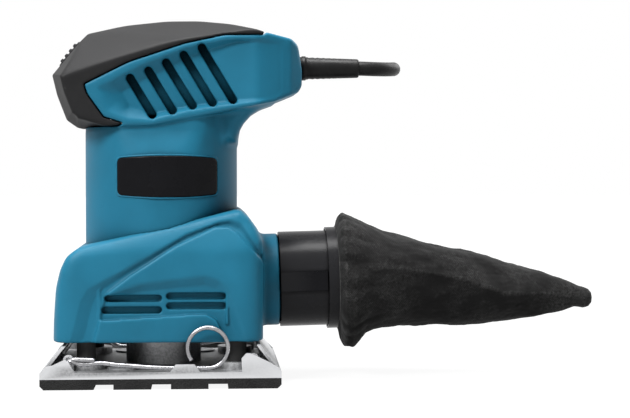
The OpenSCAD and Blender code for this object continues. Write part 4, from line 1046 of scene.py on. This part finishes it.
def soft_rubber(name, color, roughness):
    """Moulded rubber, uneven in tone and shine."""
    mat, tree, shader = new_material(name, color, roughness, specular=0.12)
    blotch = add_noise(tree, scale=70, detail=4, roughness=0.6)
    feed(tree, shader, {
        "Base Color": add_ramp(tree, blotch, *around(color, 0.8, 1.35)),
        "Roughness": add_ramp(tree, blotch, (0.3, roughness - 0.06), (0.7, roughness + 0.1)),
    })
    fine = add_noise(tree, scale=1500, detail=3, roughness=0.6)
    add_bump(tree, shader, fine, strength=0.15, distance=0.2 * MM)
    return mat


def wound_copper(name, color):
    """Lacquered winding: rows of wire as fine bands."""
    mat, tree, shader = new_material(name, color, 0.35, metallic=0.9)
    rows = add_wave(tree, coordinates(tree), "Z", scale=320, distortion=0.6).outputs["Fac"]
    tint = add_ramp(tree, rows, (0.1, scaled(color, 0.4)), (0.6, color))
    feed(tree, shader, {"Base Color": tint})
    add_bump(tree, shader, rows, strength=0.5, distance=0.3 * MM)
    return mat


def stacked_steel(name, color):
    """Stacked laminations: thin bands across the axis, slightly stained."""
    mat, tree, shader = new_material(name, color, 0.45, metallic=0.9)
    rows = add_wave(tree, coordinates(tree), "Z", scale=500).outputs["Fac"]
    tint = add_ramp(tree, rows, (0.1, scaled(color, 0.6)), (0.5, color))
    cloud = add_noise(tree, scale=80, detail=5, roughness=0.6)
    stain = add_ramp(tree, cloud, (0.35, 0.75), (0.7, 1.0))
    feed(tree, shader, {"Base Color": add_mix(tree, tint, stain, blend="MULTIPLY")})
    add_bump(tree, shader, rows, strength=0.35, distance=0.2 * MM)
    return mat


# ---- assembly


def finishes():
    return {
        "blue": moulded_plastic("blue_plastic", (0.009, 0.118, 0.194), 0.48,
                                shade=0.08, specular=0.16),
        "cap": moulded_plastic("grip_black", (0.014, 0.014, 0.0145), 0.5,
                               shade=0.15, specular=0.08),
        "black": moulded_plastic("black_plastic", (0.010, 0.010, 0.011), 0.45,
                                 shade=0.2, specular=0.12),
        "gloss": moulded_plastic("gloss_black", (0.004, 0.004, 0.005), 0.26, grain=900,
                                 strength=0.05, shade=0.2, specular=0.08),
        "cast": cast_metal("cast_metal", (0.34, 0.343, 0.35), 0.5),
        "foam": foam_rubber("pad_foam", (0.016,) * 3),
        "rubber": soft_rubber("rubber", (0.006,) * 3, 0.4),
        "leg": soft_rubber("leg_rubber", (0.03,) * 3, 0.6),
        "bright": drawn_steel("bright_steel", (0.33, 0.33, 0.34), 0.25),
        "dark": drawn_steel("dark_steel", (0.10, 0.10, 0.11), 0.4),
        "core": stacked_steel("core_steel", (0.36, 0.36, 0.37)),
        "copper": wound_copper("copper", (0.62, 0.25, 0.11)),
        "brass": drawn_steel("brass", (0.66, 0.47, 0.19), 0.32),
        "carbon": foam_rubber("carbon", (0.03,) * 3),
        "cloth": twill_cloth("bag_cloth", (0.006,) * 3, (0.11, 0.11, 0.108)),
    }


# CAD nodes that are shown as they are: by finish, each with the width of its softened edges
KEPT_NODES = {
    "cast": {"base_plate": 0.35, "bearing_bracket": 0.4},
    "foam": {"sanding_pad": 0.5},
    "leg": {"rubber_legs": 0.5},
    "dark": {"leg_screws": 0.25, "bearing_retainer": 0.2, "bracket_screws": 0.25,
             "housing_screws": 0.3},
    "bright": {"eccentric_bearing": 0.4, "lower_bearing": 0.4, "upper_bearing": 0.4,
               "brush_springs": 0.1, "rotor_shaft": 0.4, "plug_pins": 0.6},
    "core": {"stator_core": 0.2, "armature_core": 0.2, "eccentric": 0.4},
    "copper": {"field_coils": 0.8, "armature_windings": 0.8, "commutator": 0.2},
    "brass": {"brush_holders": 0.3},
    "carbon": {"brushes": 0.2},
    "black": {"switch_module": 0.5, "cord_clamp": 0.5, "fan": 0.25, "coil_tie": 0.4},
    "gloss": {"capacitor": 0.6, "adapter_tube": 0.5, "bag_collar": 0.6},
    "rubber": {"plug_body": 0.8},
}


def lay_floor():
    """A wide floor that is white to the eye, keeps a faint shadow, and fades into the world."""
    mat, tree, shader = new_material("studio_white", (0.4,) * 3, 0.9, specular=0.1)
    grain = add_noise(tree, scale=30, detail=3, roughness=0.5)
    feed(tree, shader, {"Base Color": add_ramp(tree, grain, (0.3, 0.39), (0.7, 0.41))})
    glow = add_node(tree, "Emission", {"Strength": 1.1})
    near_tool = add_node(tree, "TexGradient", {"Vector": coordinates(tree, 1.6)},
                         gradient_type="SPHERICAL")
    glowing = add_node(tree, "MapRange", {"Value": near_tool.outputs["Fac"], "To Min": 1.0,
                                          "To Max": 0.82})
    path = add_node(tree, "LightPath").outputs
    seen = add_math(tree, "MAXIMUM", path["Is Camera Ray"], path["Is Glossy Ray"])
    share = add_math(tree, "MULTIPLY", seen, glowing.outputs[0])
    mix = add_node(tree, "MixShader", {0: share, 1: shader.outputs[0], 2: glow.outputs[0]})
    feed(tree, tree.nodes["Material Output"], {"Surface": mix.outputs[0]})
    z, half = cad_bounds[0][2], 4
    mesh = bpy.data.meshes.new("floor")
    mesh.from_pydata([(-half, -half, z), (half, -half, z), (half, half, z), (-half, half, z)], [],
                     [(0, 1, 2, 3)])
    mesh.materials.append(mat)
    obj = bpy.data.objects.new("floor", mesh)
    bpy.context.scene.collection.objects.link(obj)


# Lamps: place, point they aim at, size, all in metres, and power in watts
LAMPS = {
    "overhead": ((0, 0, 1.25), (0, 0, 0.1), (0.9, 0.6), 36),
    "front": ((-0.75, -0.85, 1.15), (0.02, 0, 0.1), (0.5, 0.4), 32),
    "rear": ((0.9, 0.9, 0.7), (0, 0, 0.1), (0.7, 0.7), 5),
}


def area_light(name, location, target, size, power):
    data = bpy.data.lights.new(name, "AREA")
    data.shape = "RECTANGLE"
    data.size, data.size_y = size
    data.energy = power
    obj = bpy.data.objects.new(name, data)
    obj.location = Vector(location)
    obj.rotation_euler = (Vector(target) - Vector(location)).to_track_quat("-Z", "Y").to_euler()
    bpy.context.scene.collection.objects.link(obj)


def light_scene():
    """A white world to the eye and in reflections, dim as a light; and three lamps."""
    world = bpy.data.worlds.new("studio")
    bpy.context.scene.world = world
    world.use_nodes = True
    tree = world.node_tree
    path = add_node(tree, "LightPath").outputs
    straight = add_math(tree, "MAXIMUM", path["Is Camera Ray"], path["Is Transmission Ray"])
    seen = add_math(tree, "MAXIMUM", straight, path["Is Glossy Ray"])
    level = add_node(tree, "MapRange", {"Value": seen, "To Min": 0.07, "To Max": 1.0})
    feed(tree, tree.nodes["Background"], {"Color": (1, 1, 1, 1), "Strength": level.outputs[0]})
    for name, lamp in LAMPS.items():
        area_light(name, *lamp)


def main():
    """Builds the whole picture."""
    bpy.context.scene.view_settings.view_transform = "Standard"
    look = finishes()
    make_cord(look["rubber"])
    for finish, nodes in KEPT_NODES.items():
        for node, width in nodes.items():
            paint(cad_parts[node], look[finish])
            soften(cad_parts[node], width)
    make_skirt(look["blue"])
    make_housing(look["blue"])
    make_cap(look["cap"])
    make_plates(look["gloss"], look["blue"])
    make_clamps(look["bright"])
    make_guard(look["rubber"])
    make_slider(look["black"])
    make_bag(look["cloth"])
    light_scene()
    lay_floor()


main()
